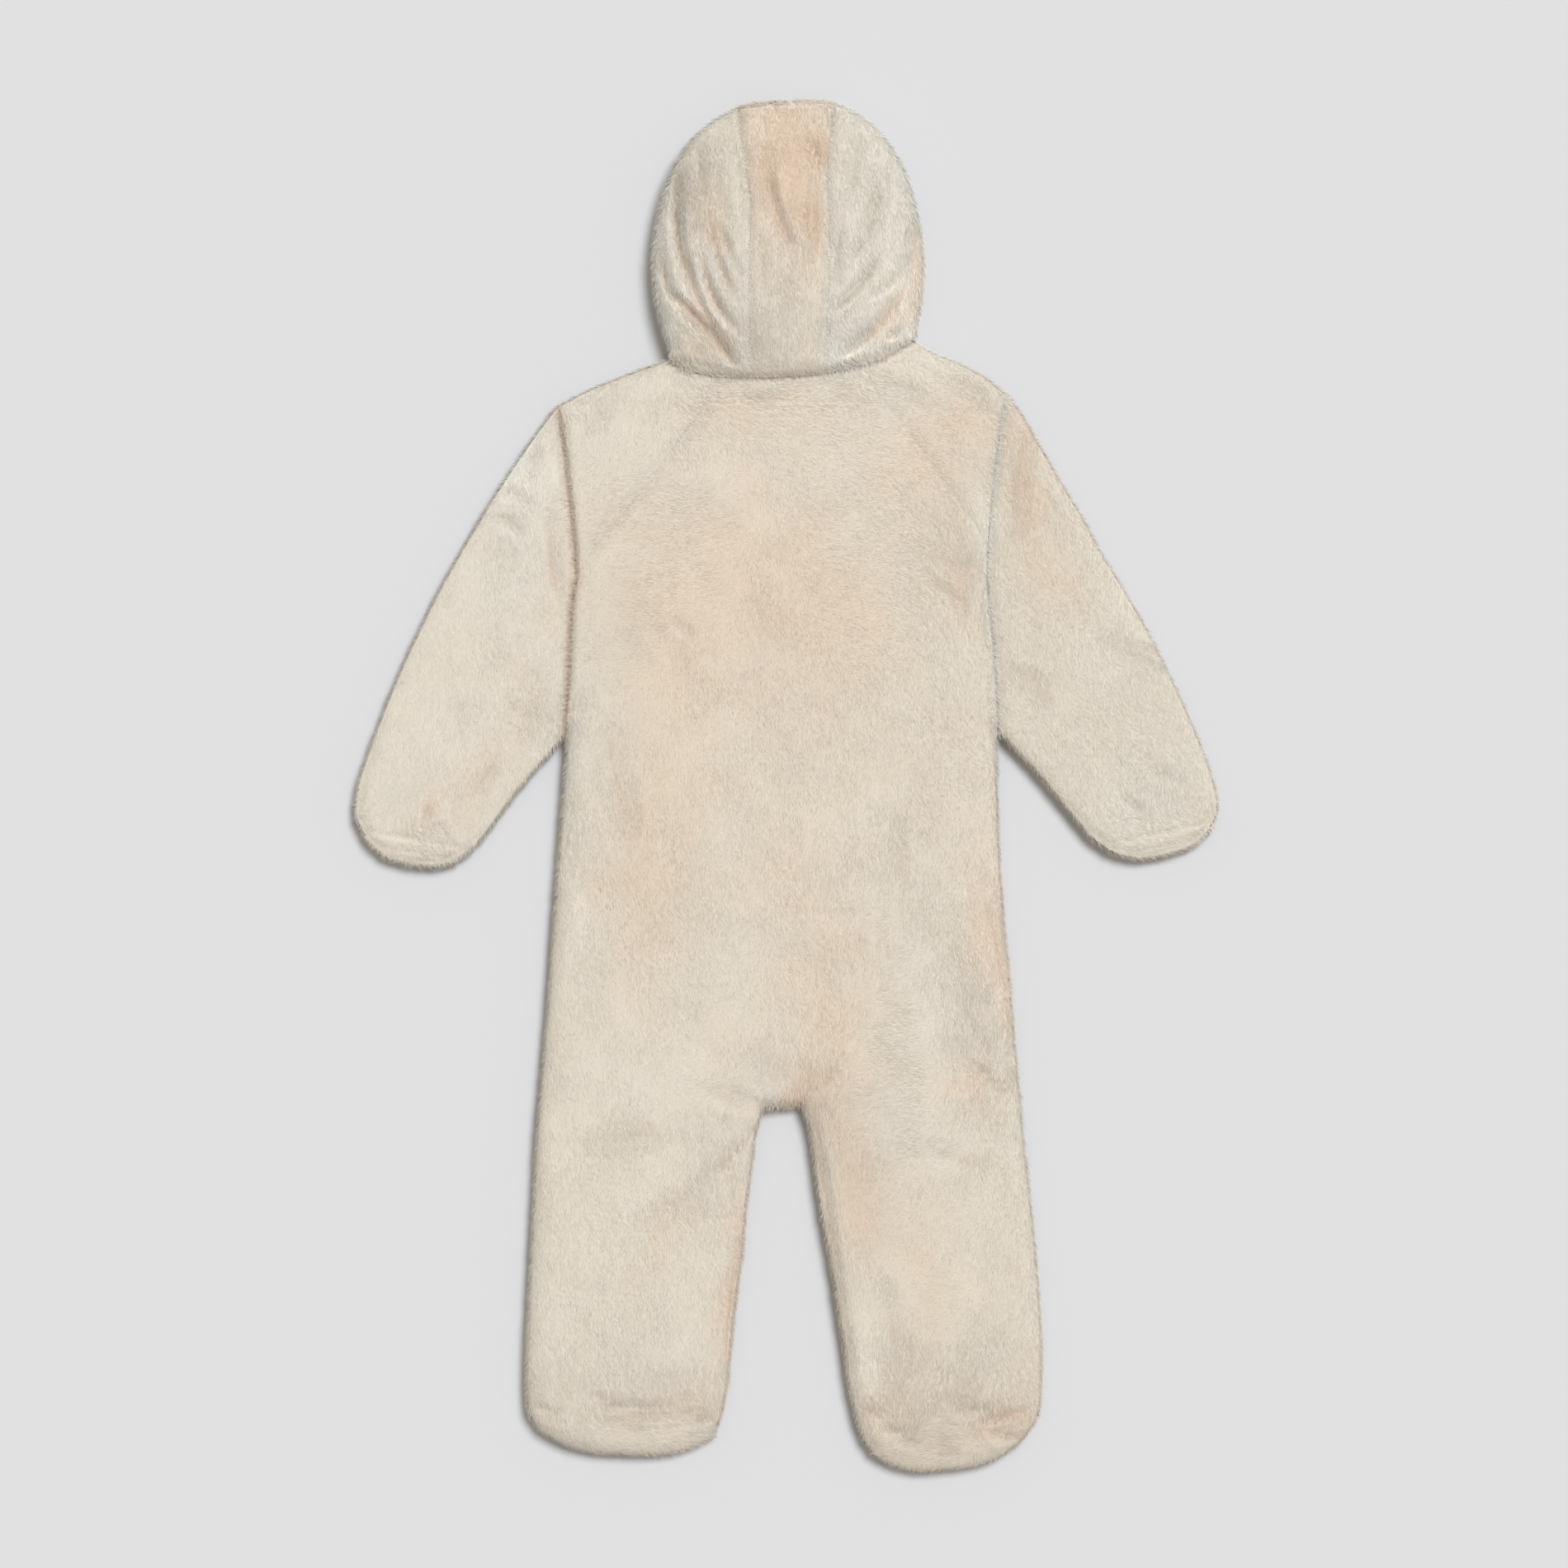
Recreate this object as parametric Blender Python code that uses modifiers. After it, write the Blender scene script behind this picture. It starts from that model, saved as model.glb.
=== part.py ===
"""Hooded fleece pramsuit for a baby, laid flat on its front with the hood spread out above the neck.

Every piece of cloth is a wall. The back lies on two fronts that meet at a zip, each raglan sleeve
is one piece folded round the outer side of the arm and closed under it, and the hood is a centre
strip between two side panels that wrap round to the face edge underneath. Sizes are in millimetres
in the tables and become metres when a mesh is made. X runs across the suit, Y from the feet to the
hood, Z up from the surface that it lies on. The origin is under the middle of the suit.
"""

import math
from collections import namedtuple

import bmesh
import bpy
import numpy as np

MM = 0.001

# Cloth
CLOTH = 4.5  # plush fleece, pile pressed
SEAM_GAP = 0.3
NECK_GAP = 0.8

# Heights above the surface
SEAM_Z = 9.0  # side seams, halfway up the rolled sides
LIP = 2.6  # upright stretch of cloth above and below a side seam
BODY_CROWN = 19.0
BODY_SWELL = 2.5  # more in the middle of the body than near its sides
ARM_CROWN = 16.0
TUCK_Z = 13.0  # bottom of the tuck where the sleeve goes under the side of the body
NECK_Z = 15.5
HOOD_CROWN = 36.0
HOOD_RIM_Z = 14.0

# Widths over which the cloth rolls down to a seam or a tuck
BODY_ROLL = 14.0
UNDER_ROLL = 8.0
ARM_ROLL = 12.0
TUCK_ROLL = 20.0
NECK_ROLL = 15.0
HOOD_ROLL = 36.0
HOOD_UNDER_ROLL = 13.0
HOOD_RETURN_STEPS = (0.0, 0.035, 0.12, 0.27, 0.55, 1.0)

# Stitched seams pull the pile down beside them
GROOVE_DEPTH = 1.8
GROOVE_WIDTH = 6.0

# Zip
ZIP_SLOT = 8.0
ZIP_TOP_Y = 257.0
ZIP_END_Y = -150.0
TAPE_WIDTH = 24.0
TAPE_THICK = 0.8
TAPE_Z = 4.8
HINGE_Y = 252.0
HINGE_Z = 2.35

CREAM = (0.770, 0.672, 0.545, 1.0)
TAPE_COLOUR = (0.690, 0.600, 0.490, 1.0)
METAL = (0.780, 0.760, 0.720, 1.0)

# The body, one row for each level across it. The raglan seams are its sides down to the tuck.
Torso = namedtuple("Torso", "y left right")
TORSO = [
    Torso(271.6, -49.5, 54.0),
    Torso(259.0, -53.0, 62.5),
    Torso(246.0, -59.0, 73.0),
    Torso(232.0, -70.0, 84.0),
    Torso(216.0, -81.5, 95.0),
    Torso(200.0, -93.5, 106.0),
    Torso(184.0, -105.5, 117.5),
    Torso(168.0, -120.0, 128.5),
    Torso(154.0, -131.0, 133.0),
    Torso(139.0, -138.8, 133.6),
    Torso(122.0, -141.2, 134.6),
    Torso(102.0, -142.3, 136.6),
    Torso(80.0, -143.4, 138.8),
    Torso(58.0, -145.0, 140.0),
    Torso(36.0, -146.8, 140.8),
    Torso(0.0, -149.5, 141.6),
    Torso(-50.0, -153.2, 143.4),
    Torso(-100.0, -157.0, 147.2),
    Torso(-150.0, -160.6, 151.6),
    Torso(-190.0, -164.0, 155.2),
    Torso(-213.0, -165.9, 157.4),
]
FOLD_ROW = 9  # the raglan seams end here, and the tucks
FREE_ROW = 14  # the sleeves come out from under the body here

# A leg, one row for each level from the crotch to the end of the foot. bow rounds the foot.
Leg = namedtuple("Leg", "outer_x outer_y inner_x inner_y bow")
LEG_LEFT = [
    Leg(-165.9, -213.0, -14.0, -216.0, 0.0),
    Leg(-167.2, -228.0, -18.4, -229.0, 0.0),
    Leg(-168.6, -253.0, -21.8, -253.0, 0.0),
    Leg(-170.0, -282.0, -25.6, -282.0, 0.0),
    Leg(-171.6, -314.0, -28.6, -314.0, 0.0),
    Leg(-173.2, -346.0, -32.8, -346.0, 0.0),
    Leg(-174.4, -378.0, -36.0, -378.0, 0.5),
    Leg(-174.8, -402.0, -39.2, -404.0, 3.0),
    Leg(-172.8, -419.0, -43.0, -422.0, 9.0),
    Leg(-166.0, -430.0, -49.0, -435.0, 14.5),
]
LEG_RIGHT = [
    Leg(157.4, -213.0, 9.0, -213.5, 0.0),
    Leg(158.5, -228.0, 13.6, -228.0, 0.0),
    Leg(161.2, -253.0, 17.3, -253.0, 0.0),
    Leg(164.4, -282.0, 21.6, -282.0, 0.0),
    Leg(167.6, -314.0, 27.2, -314.0, 0.0),
    Leg(170.0, -346.0, 32.6, -346.0, 0.0),
    Leg(171.4, -378.0, 37.6, -380.0, 0.5),
    Leg(171.0, -402.0, 42.2, -408.0, 4.0),
    Leg(168.4, -421.0, 48.0, -430.0, 9.5),
    Leg(160.0, -434.5, 57.0, -446.0, 16.5),
]

# A sleeve, from the neck to the mitt. The first rows start on the body's edge, at the level of the
# TORSO row of the same number. The last rows start on the seam under the arm.
Cap = namedtuple("Cap", "outer_x outer_y bow")
CAP_LEFT = [
    Cap(-77.5, 285.5, -1.5),
    Cap(-86.0, 282.6, 0.0),
    Cap(-95.0, 279.4, 0.0),
    Cap(-104.5, 275.8, 0.0),
    Cap(-114.0, 272.3, 0.0),
    Cap(-123.0, 268.8, 0.0),
    Cap(-131.5, 265.2, 0.0),
    Cap(-138.8, 262.0, 0.0),
    Cap(-144.6, 258.6, 0.0),
    Cap(-151.5, 254.8, 1.8),
    Cap(-164.0, 240.5, 0.0),
    Cap(-177.5, 221.5, 0.0),
    Cap(-191.5, 200.5, 0.0),
    Cap(-205.0, 178.5, 0.0),
    Cap(-218.5, 156.0, 0.0),
]
CAP_RIGHT = [
    Cap(86.5, 297.0, 1.5),
    Cap(93.0, 292.4, 0.0),
    Cap(100.5, 288.4, 0.0),
    Cap(109.0, 285.4, 0.0),
    Cap(117.5, 281.6, 0.0),
    Cap(125.5, 277.6, 0.0),
    Cap(132.5, 273.6, 0.0),
    Cap(138.0, 269.4, 0.0),
    Cap(141.5, 266.6, -1.2),
    Cap(146.0, 262.6, -2.2),
    Cap(158.0, 247.5, 0.0),
    Cap(170.5, 226.5, 0.0),
    Cap(183.5, 204.0, 0.0),
    Cap(197.5, 181.0, 0.0),
    Cap(210.5, 157.0, 0.0),
]
Arm = namedtuple("Arm", "inner_x inner_y outer_x outer_y bow")
ARM_LEFT = [
    Arm(-154.0, 24.5, -233.0, 130.0, 0.0),
    Arm(-162.0, 15.0, -246.0, 104.0, 0.0),
    Arm(-171.0, 5.0, -258.5, 77.0, -0.5),
    Arm(-180.5, -6.5, -270.0, 49.0, -1.0),
    Arm(-189.5, -19.0, -279.8, 22.5, -3.0),
    Arm(-197.5, -30.0, -287.0, -1.0, -7.0),
    Arm(-205.0, -39.0, -288.6, -18.0, -11.0),
    Arm(-213.5, -46.5, -282.5, -34.0, -13.5),
]
ARM_RIGHT = [
    Arm(149.0, 26.0, 225.5, 132.5, 0.0),
    Arm(158.0, 16.5, 240.0, 107.0, 0.0),
    Arm(167.5, 6.0, 252.5, 82.5, 0.5),
    Arm(177.0, -5.5, 265.0, 56.5, 1.0),
    Arm(186.5, -17.0, 276.5, 30.0, 3.0),
    Arm(195.5, -28.0, 285.5, 4.5, 6.5),
    Arm(203.5, -37.0, 288.6, -13.0, 10.0),
    Arm(213.0, -43.8, 284.5, -28.5, 12.0),
]

# The hood, one row for each level across it: its outline, its two seams, and the face edge below.
Hood = namedtuple(
    "Hood",
    "left_x left_y seam_left_x seam_left_y seam_right_x seam_right_y right_x right_y"
    " face_left_x face_left_y face_right_x face_right_y",
)
HOOD = [
    Hood(-77.5, 286.3, -25.3, 272.0, 24.0, 274.7, 86.5, 297.8, -22.0, 272.0, 24.0, 274.7),
    Hood(-80.0, 293.5, -25.2, 278.0, 24.5, 280.5, 87.9, 303.5, -26.0, 282.0, 28.0, 285.0),
    Hood(-84.5, 307.0, -25.1, 292.0, 25.6, 294.0, 89.7, 314.0, -32.0, 299.0, 34.0, 302.0),
    Hood(-88.6, 326.0, -24.9, 314.0, 27.6, 315.0, 91.8, 330.0, -37.0, 321.0, 39.0, 323.0),
    Hood(-90.4, 346.0, -24.8, 337.0, 28.6, 338.0, 92.6, 348.0, -40.0, 342.0, 42.0, 343.0),
    Hood(-89.0, 367.0, -24.4, 361.0, 28.6, 361.0, 91.2, 368.0, -40.0, 361.0, 42.0, 362.0),
    Hood(-84.6, 389.0, -24.2, 385.0, 28.1, 385.0, 86.6, 389.0, -36.0, 376.0, 38.0, 377.0),
    Hood(-77.2, 410.0, -26.8, 408.0, 27.4, 409.0, 80.0, 410.0, -30.0, 387.0, 32.0, 388.0),
    Hood(-66.0, 428.5, -30.2, 430.0, 29.2, 430.0, 68.0, 430.0, -24.0, 394.0, 26.0, 395.0),
    Hood(-55.5, 438.8, -31.4, 442.5, 30.6, 444.0, 57.0, 441.5, -20.0, 397.5, 22.0, 398.0),
    Hood(-47.0, 444.8, -31.8, 449.0, 31.3, 451.4, 47.8, 448.6, -17.0, 399.4, 19.0, 399.8),
    Hood(-39.8, 449.2, -32.0, 453.2, 31.6, 456.2, 40.0, 453.0, -15.5, 400.3, 17.0, 400.5),
]
HOOD_TOP_BOW = 2.7
FACE_SEAM_LEFT = (-12.5, 401.0)
FACE_SEAM_RIGHT = (13.5, 401.0)

# The largest folds: a soft trough along each line, from its start through a bend to its end.
Fold = namedtuple("Fold", "on x0 y0 x1 y1 bend half_width depth")
FOLDS = [
    Fold("hood", -72.0, 402.0, -60.0, 322.0, 5.0, 8.0, 3.6),
    Fold("hood", -78.0, 326.0, -36.0, 280.0, -2.0, 7.0, 4.6),
    Fold("hood", -50.0, 378.0, -31.0, 308.0, 6.0, 6.5, 2.4),
    Fold("hood", -12.0, 414.0, 4.0, 350.0, 2.0, 7.0, 2.6),
    Fold("hood", 60.0, 402.0, 44.0, 350.0, -4.0, 7.0, 2.0),
    Fold("hood", 76.0, 328.0, 34.0, 288.0, -3.0, 7.5, 2.6),
    Fold("body", -22.0, -222.0, -58.0, -262.0, -2.0, 8.0, 2.4),
    Fold("body", -110.0, -407.0, -62.0, -416.0, 4.0, 8.0, 1.6),
    Fold("body", 66.0, -432.0, 90.0, -424.0, -3.0, 8.0, 1.6),
    Fold("body", 132.0, -424.0, 160.0, -432.0, 3.0, 8.0, 1.8),
    Fold("body", 128.0, -86.0, 146.0, -190.0, -3.0, 10.0, 1.4),
]

for old in list(bpy.data.objects):
    bpy.data.objects.remove(old, do_unlink=True)

suit = bpy.data.collections.new("pramsuit")
bpy.context.scene.collection.children.link(suit)
cutters = bpy.data.collections.new("cutters")
bpy.context.scene.collection.children.link(cutters)


# ---------------------------------------------------------------- curves and sections


def columns(rows, *names):
    return np.array([[getattr(row, name) for name in names] for row in rows], float)


def spline(points, at):
    """Points on a smooth curve through the given ones, at row numbers such as 2.5."""
    points = np.asarray(points, float)
    at = np.asarray(at, float)
    count = len(points)
    chord = np.maximum(np.linalg.norm(np.diff(points, axis=0), axis=1), 1e-9)
    slope = np.zeros_like(points)
    for i in range(count):
        before = points[i] - points[i - 1] if i else points[1] - points[0]
        after = points[i + 1] - points[i] if i < count - 1 else before
        a = chord[max(i - 1, 0)] if i else chord[0]
        b = chord[min(i, count - 2)]
        slope[i] = (before / a * b + after / b * a) / (a + b)
    i = np.clip(np.floor(at).astype(int), 0, count - 2)
    t = (at - i)[:, None]
    length = chord[i][:, None]
    p0, p1 = points[i], points[i + 1]
    m0, m1 = slope[i] * length, slope[i + 1] * length
    return (
        (2 * t**3 - 3 * t**2 + 1) * p0
        + (t**3 - 2 * t**2 + t) * m0
        + (3 * t**2 - 2 * t**3) * p1
        + (t**3 - t**2) * m1
    )


def across(start, end, bow, shares, power=2.8):
    """Rows of points from start to end, each bowed out to the right of its own direction."""
    start, end = np.asarray(start, float), np.asarray(end, float)
    shares = np.asarray(shares, float)
    line = end - start
    side = np.stack([line[:, 1], -line[:, 0]], 1)
    side /= np.maximum(np.linalg.norm(side, axis=1), 1e-9)[:, None]
    swell = 1 - np.abs(2 * shares - 1) ** power
    return (
        start[:, None]
        + line[:, None] * shares[None, :, None]
        + (side * np.asarray(bow, float)[:, None])[:, None] * swell[None, :, None]
    )


def shares_of(width, near_start, near_end, middle):
    """Shares across a width, closer together near each edge, at the distances given."""
    left = [d / width for d in near_start]
    right = [1 - d / width for d in reversed(near_end)]
    inner = np.linspace(left[-1], right[0], middle + 1)[1:-1]
    return np.array([*left, *inner, *right])


def outwards(line, sign):
    """Unit directions at right angles to a line of points."""
    along = np.gradient(line, axis=0)
    along /= np.maximum(np.linalg.norm(along, axis=1), 1e-9)[:, None]
    return np.stack([along[:, 1], -along[:, 0]], 1) * sign


def distance(points, line):
    """Least distance from each point to a line of points."""
    points = np.asarray(points, float)
    flat = points.reshape(-1, 2)
    least = np.full(len(flat), 1e9)
    for a, b in zip(line[:-1], line[1:]):
        ab = b - a
        size = ab @ ab
        if size < 1e-12:
            continue
        t = np.clip((flat - a) @ ab / size, 0, 1)
        least = np.minimum(least, np.linalg.norm(flat - a - t[:, None] * ab, axis=1))
    return least.reshape(points.shape[:-1])


def rolled(d, width):
    """0 at an edge, rising as a quarter of an ellipse to 1."""
    t = np.clip(d / width, 0, 1)
    return np.sqrt(np.maximum(1 - (1 - t) ** 2, 0))


def eased(d, width):
    """0 at an edge, rising softly to 1."""
    t = np.clip(d / width, 0, 1)
    return t * (2 - t) * 0.65 + 0.35 * t * t * (3 - 2 * t)


# ---------------------------------------------------------------- outlines

torso_rows = columns(TORSO, "y", "left", "right")
side_left = torso_rows[:, [1, 0]]
side_right = torso_rows[:, [2, 0]]

neck_points = np.array(
    [
        [-77.5, 285.5],
        [-75.6, 280.6],
        [-55.0, 273.4],
        [-22.0, 271.2],
        [0.0, 271.8],
        [24.0, 273.9],
        [62.0, 283.3],
        [86.5, 297.0],
    ]
)


def neck(x):
    """The neck seam at these values of x."""
    line = spline(neck_points, np.linspace(0, 7, 141))
    return np.interp(x, line[:, 0], line[:, 1])


def leg_rows(rows):
    found = spline(
        columns(rows, "outer_x", "outer_y", "inner_x", "inner_y", "bow"), LEG_STATIONS
    )
    return found[:, 0:2], found[:, 2:4], found[:, 4]


def sleeve_rows(caps, arms, side):
    """Start, end and bow of each row of a sleeve, where side is the body's edge beside it."""
    inner = [side[i] for i in range(FREE_ROW + 1)]
    inner += [(row.inner_x, row.inner_y) for row in arms]
    outer = [(row.outer_x, row.outer_y) for row in (*caps, *arms)]
    bow = [row.bow for row in (*caps, *arms)]
    return np.array(inner, float), np.array(outer, float), np.array(bow, float)


LEG_STATIONS = np.array([0.0, 0.9, 2.0, 3.2, 4.4, 5.6, 6.7, 7.6, 8.3, 8.75, 8.93, 9.0])
SLEEVES = {
    "left": sleeve_rows(CAP_LEFT, ARM_LEFT, side_left),
    "right": sleeve_rows(CAP_RIGHT, ARM_RIGHT, side_right),
}
LEGS = {
    "left": leg_rows(LEG_LEFT),
    "right": leg_rows(LEG_RIGHT),
}
fine = np.linspace(0, 1, 25)


def foot_end(side):
    """The outline across the end of a foot, from its outer corner to its inner one."""
    start, end, bow = (part[-1:] for part in LEGS[side])
    return across(start, end, bow if side == "left" else -bow, fine)[0]


def mitt_end(side):
    start, end, bow = (part[-1:] for part in SLEEVES[side])
    return across(start, end, bow, fine)[0]


free_edges = [
    side_left[FOLD_ROW:],
    LEGS["left"][0],
    foot_end("left"),
    LEGS["left"][1],
    np.array([LEGS["left"][1][0], LEGS["right"][1][0]]),
    LEGS["right"][1],
    foot_end("right"),
    LEGS["right"][0],
    side_right[FOLD_ROW:],
]
shoulders = [SLEEVES[side][1][: FOLD_ROW + 1] for side in SLEEVES]
tucks = [
    across(*(part[FOLD_ROW : FOLD_ROW + 1] for part in SLEEVES[side]), fine)[0]
    for side in SLEEVES
]
neck_line = np.stack([np.linspace(-77.5, 86.5, 60), neck(np.linspace(-77.5, 86.5, 60))], 1)
raglans = [side_left[: FOLD_ROW + 1], side_right[: FOLD_ROW + 1]]


# ---------------------------------------------------------------- heights


def troughs(points, on):
    """How far the folds on one part of the suit press the cloth down at these points."""
    down = np.zeros(points.shape[:-1])
    for fold in FOLDS:
        if fold.on != on:
            continue
        a, b = np.array([fold.x0, fold.y0]), np.array([fold.x1, fold.y1])
        t = np.linspace(0, 1, 9)[:, None]
        side = np.array([b[1] - a[1], a[0] - b[0]]) / np.linalg.norm(b - a)
        line = a + (b - a) * t + side * fold.bend * 4 * t * (1 - t)
        d = distance(points, line)
        along = np.clip((points - a) @ (b - a) / ((b - a) @ (b - a)), 0, 1)
        fade = np.sin(math.pi * (0.08 + 0.84 * along)) ** 0.7
        down += fold.depth * fade * np.exp(-((d / fold.half_width) ** 2))
    return down


def grooves(points, lines):
    """How far the stitching pulls the cloth down beside these seams."""
    d = np.min([distance(points, line) for line in lines], axis=0)
    return GROOVE_DEPTH * np.exp(-((d / GROOVE_WIDTH) ** 2))


def body_top(points):
    """The upper side of the body, the legs and the shoulders."""
    side = np.min([distance(points, line) for line in free_edges], axis=0)
    shoulder = np.min([distance(points, line) for line in shoulders], axis=0)
    tuck = np.min([distance(points, line) for line in tucks], axis=0)
    collar = distance(points, neck_line)
    inside = np.minimum(np.minimum(side, shoulder), tuck)
    crown = BODY_CROWN + BODY_SWELL * (1 - np.exp(-inside / 60.0))
    drop = np.max(
        [
            (crown - SEAM_Z - LIP) * (1 - rolled(side, BODY_ROLL)),
            (crown - SEAM_Z - LIP) * (1 - rolled(shoulder, BODY_ROLL)),
            (crown - TUCK_Z) * (1 - eased(tuck, BODY_ROLL)),
            (crown - NECK_Z) * (1 - eased(collar, NECK_ROLL)),
        ],
        axis=0,
    )
    return crown - drop - (grooves(points, raglans) + troughs(points, "body")) * np.clip(
        inside / 10, 0, 1
    )


def arm_top(points, side):
    """The upper side of a sleeve from the tuck to the mitt."""
    inner, outer, _ = SLEEVES[side]
    free = [outer[FOLD_ROW:], inner[FREE_ROW:], mitt_end(side)]
    tucked = [tucks[0 if side == "left" else 1], inner[FOLD_ROW : FREE_ROW + 1]]
    d = np.min([distance(points, line) for line in free], axis=0)
    held = np.min([distance(points, line) for line in tucked], axis=0)
    drop = np.maximum(
        (ARM_CROWN - SEAM_Z - LIP) * (1 - rolled(d, ARM_ROLL)),
        (ARM_CROWN - TUCK_Z) * (1 - eased(held, TUCK_ROLL)),
    )
    return ARM_CROWN - drop


def under(points, lines, width=UNDER_ROLL, rim=SEAM_Z - LIP):
    """The lower side: flat on the surface, rolling up to the seams and folds at its edges."""
    d = np.min([distance(points, line) for line in lines], axis=0)
    return rim * (1 - rolled(d, width))


# ---------------------------------------------------------------- meshes


def material(name, colour, roughness, metallic=0.0):
    made = bpy.data.materials.new(name)
    made.use_nodes = True
    shader = made.node_tree.nodes["Principled BSDF"]
    shader.inputs["Base Color"].default_value = colour
    shader.inputs["Roughness"].default_value = roughness
    shader.inputs["Metallic"].default_value = metallic
    return made


def raised(points, height):
    """Flat points with their heights."""
    return np.concatenate([points, np.broadcast_to(height, points.shape[:-1])[..., None]], -1)


def lip(edge, rise):
    """An upright strip along an edge."""
    return np.stack([edge, edge + np.array([0.0, 0.0, rise])])


def wall(name, grids, finish, lies_up=True):
    """A named piece of cloth: one open surface welded from grids of points, its outer side facing
    out, with the thickness of the cloth inside it."""
    bm = bmesh.new()
    for grid in grids:
        rows, cols = grid.shape[:2]
        verts = [[bm.verts.new(grid[i, j] * MM) for j in range(cols)] for i in range(rows)]
        for i in range(rows - 1):
            for j in range(cols - 1):
                bm.faces.new(
                    (verts[i][j], verts[i + 1][j], verts[i + 1][j + 1], verts[i][j + 1])
                )
    bmesh.ops.remove_doubles(bm, verts=bm.verts, dist=0.00002)
    bmesh.ops.recalc_face_normals(bm, faces=bm.faces)
    level = [f for f in bm.faces if abs(f.normal.z) > 0.7]
    furthest = max(level, key=lambda f: f.calc_center_median().z * (1 if lies_up else -1))
    if (furthest.normal.z > 0) != lies_up:
        bmesh.ops.reverse_faces(bm, faces=bm.faces)
    mesh = bpy.data.meshes.new(name)
    bm.to_mesh(mesh)
    bm.free()
    mesh.shade_smooth()
    mesh.materials.append(finish)
    piece = bpy.data.objects.new(name, mesh)
    suit.objects.link(piece)
    solid = piece.modifiers.new("cloth", "SOLIDIFY")
    solid.thickness = CLOTH * MM
    solid.offset = -1
    solid.use_rim = True
    return piece


fleece = material("fleece", CREAM, 0.95)
leg_shares = shares_of(140.0, (0, 1.4, 5.0, 12.0), (0, 1.4, 5.0, 12.0), 4)
half = SEAM_GAP / 2


def leg_grid(side):
    """Flat points of a leg, its columns from left to right."""
    start, end, bow = LEGS[side]
    grid = across(start, end, bow if side == "left" else -bow, leg_shares)
    return grid if side == "left" else grid[:, ::-1]


legs = {side: leg_grid(side) for side in LEGS}
torso_left, torso_right = side_left.copy(), side_right.copy()
crotch_left, crotch_right = legs["left"][0, -1], legs["right"][0, 0]
wide = torso_right[-1, 0] - torso_left[-1, 0]
share_a = (crotch_left[0] - torso_left[-1, 0]) / wide
share_b = (crotch_right[0] - torso_left[-1, 0]) / wide
torso_shares = np.array([*(leg_shares * share_a), *(share_b + leg_shares * (1 - share_b))])
torso = across(torso_left, torso_right, np.zeros(len(TORSO)), torso_shares)
torso[0, :, 1] = neck(torso[0, :, 0])
torso[-1] = np.concatenate([legs["left"][0], legs["right"][0]])

# Back
back_torso = raised(torso, body_top(torso))
back_legs = {side: raised(grid, body_top(grid)) for side, grid in legs.items()}
back_edge = np.concatenate(
    [
        back_torso[FOLD_ROW:, 0],
        back_legs["left"][1:, 0],
        back_legs["left"][-1, 1:],
        back_legs["left"][-2::-1, -1],
        back_legs["right"][:, 0],
        back_legs["right"][-1, 1:],
        back_legs["right"][-2::-1, -1],
        back_torso[-2 : FOLD_ROW - 1 : -1, -1],
    ]
)
wall(
    "back",
    [back_torso, *back_legs.values(), lip(back_edge, half - LIP)],
    fleece,
)


# Fronts, either side of the zip
def zip_edge(y, side):
    """The edge of one front, beside the zip and then along the seam below it."""
    y = np.asarray(y, float)
    sign = -1 if side == "left" else 1
    below = np.clip((ZIP_END_Y - y) / (ZIP_END_Y - TORSO[-1].y), 0, 1)
    opening = np.where(y >= ZIP_END_Y - 1, ZIP_SLOT / 2, half + 0.1)
    middle = (crotch_left[0] + crotch_right[0]) / 2 * below
    return middle + sign * opening


def front(side):
    y = torso_rows[:, 0]
    outer = torso_left if side == "left" else torso_right
    inner = zip_edge(y, side)
    crotch = crotch_left if side == "left" else crotch_right
    part = (crotch[0] - inner[-1]) / (outer[-1, 0] - inner[-1])
    shares = np.array([*(leg_shares * (1 - part)), 1.0])
    x = outer[:, 0:1] + (inner - outer[:, 0])[:, None] * shares
    grid = np.stack([x, np.broadcast_to(y[:, None], x.shape)], -1)
    grid[0, :, 1] = neck(grid[0, :, 0])
    leg = legs[side] if side == "left" else legs[side][:, ::-1]
    grid[-1, :-1] = leg[0]
    grid[-1, -1, 1] = (crotch_left[1] + crotch_right[1]) / 2
    top, bottom = raised(grid, under(grid, free_edges)), raised(leg, under(leg, free_edges))
    edge = np.concatenate(
        [
            top[FOLD_ROW:, 0],
            bottom[1:, 0],
            bottom[-1, 1:],
            bottom[-2::-1, -1],
            top[-1:, -1],
        ]
    )
    wall(
        "front_" + side,
        [top, bottom, lip(edge, LIP - half)],
        fleece,
        lies_up=False,
    )


front("left")
front("right")


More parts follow.
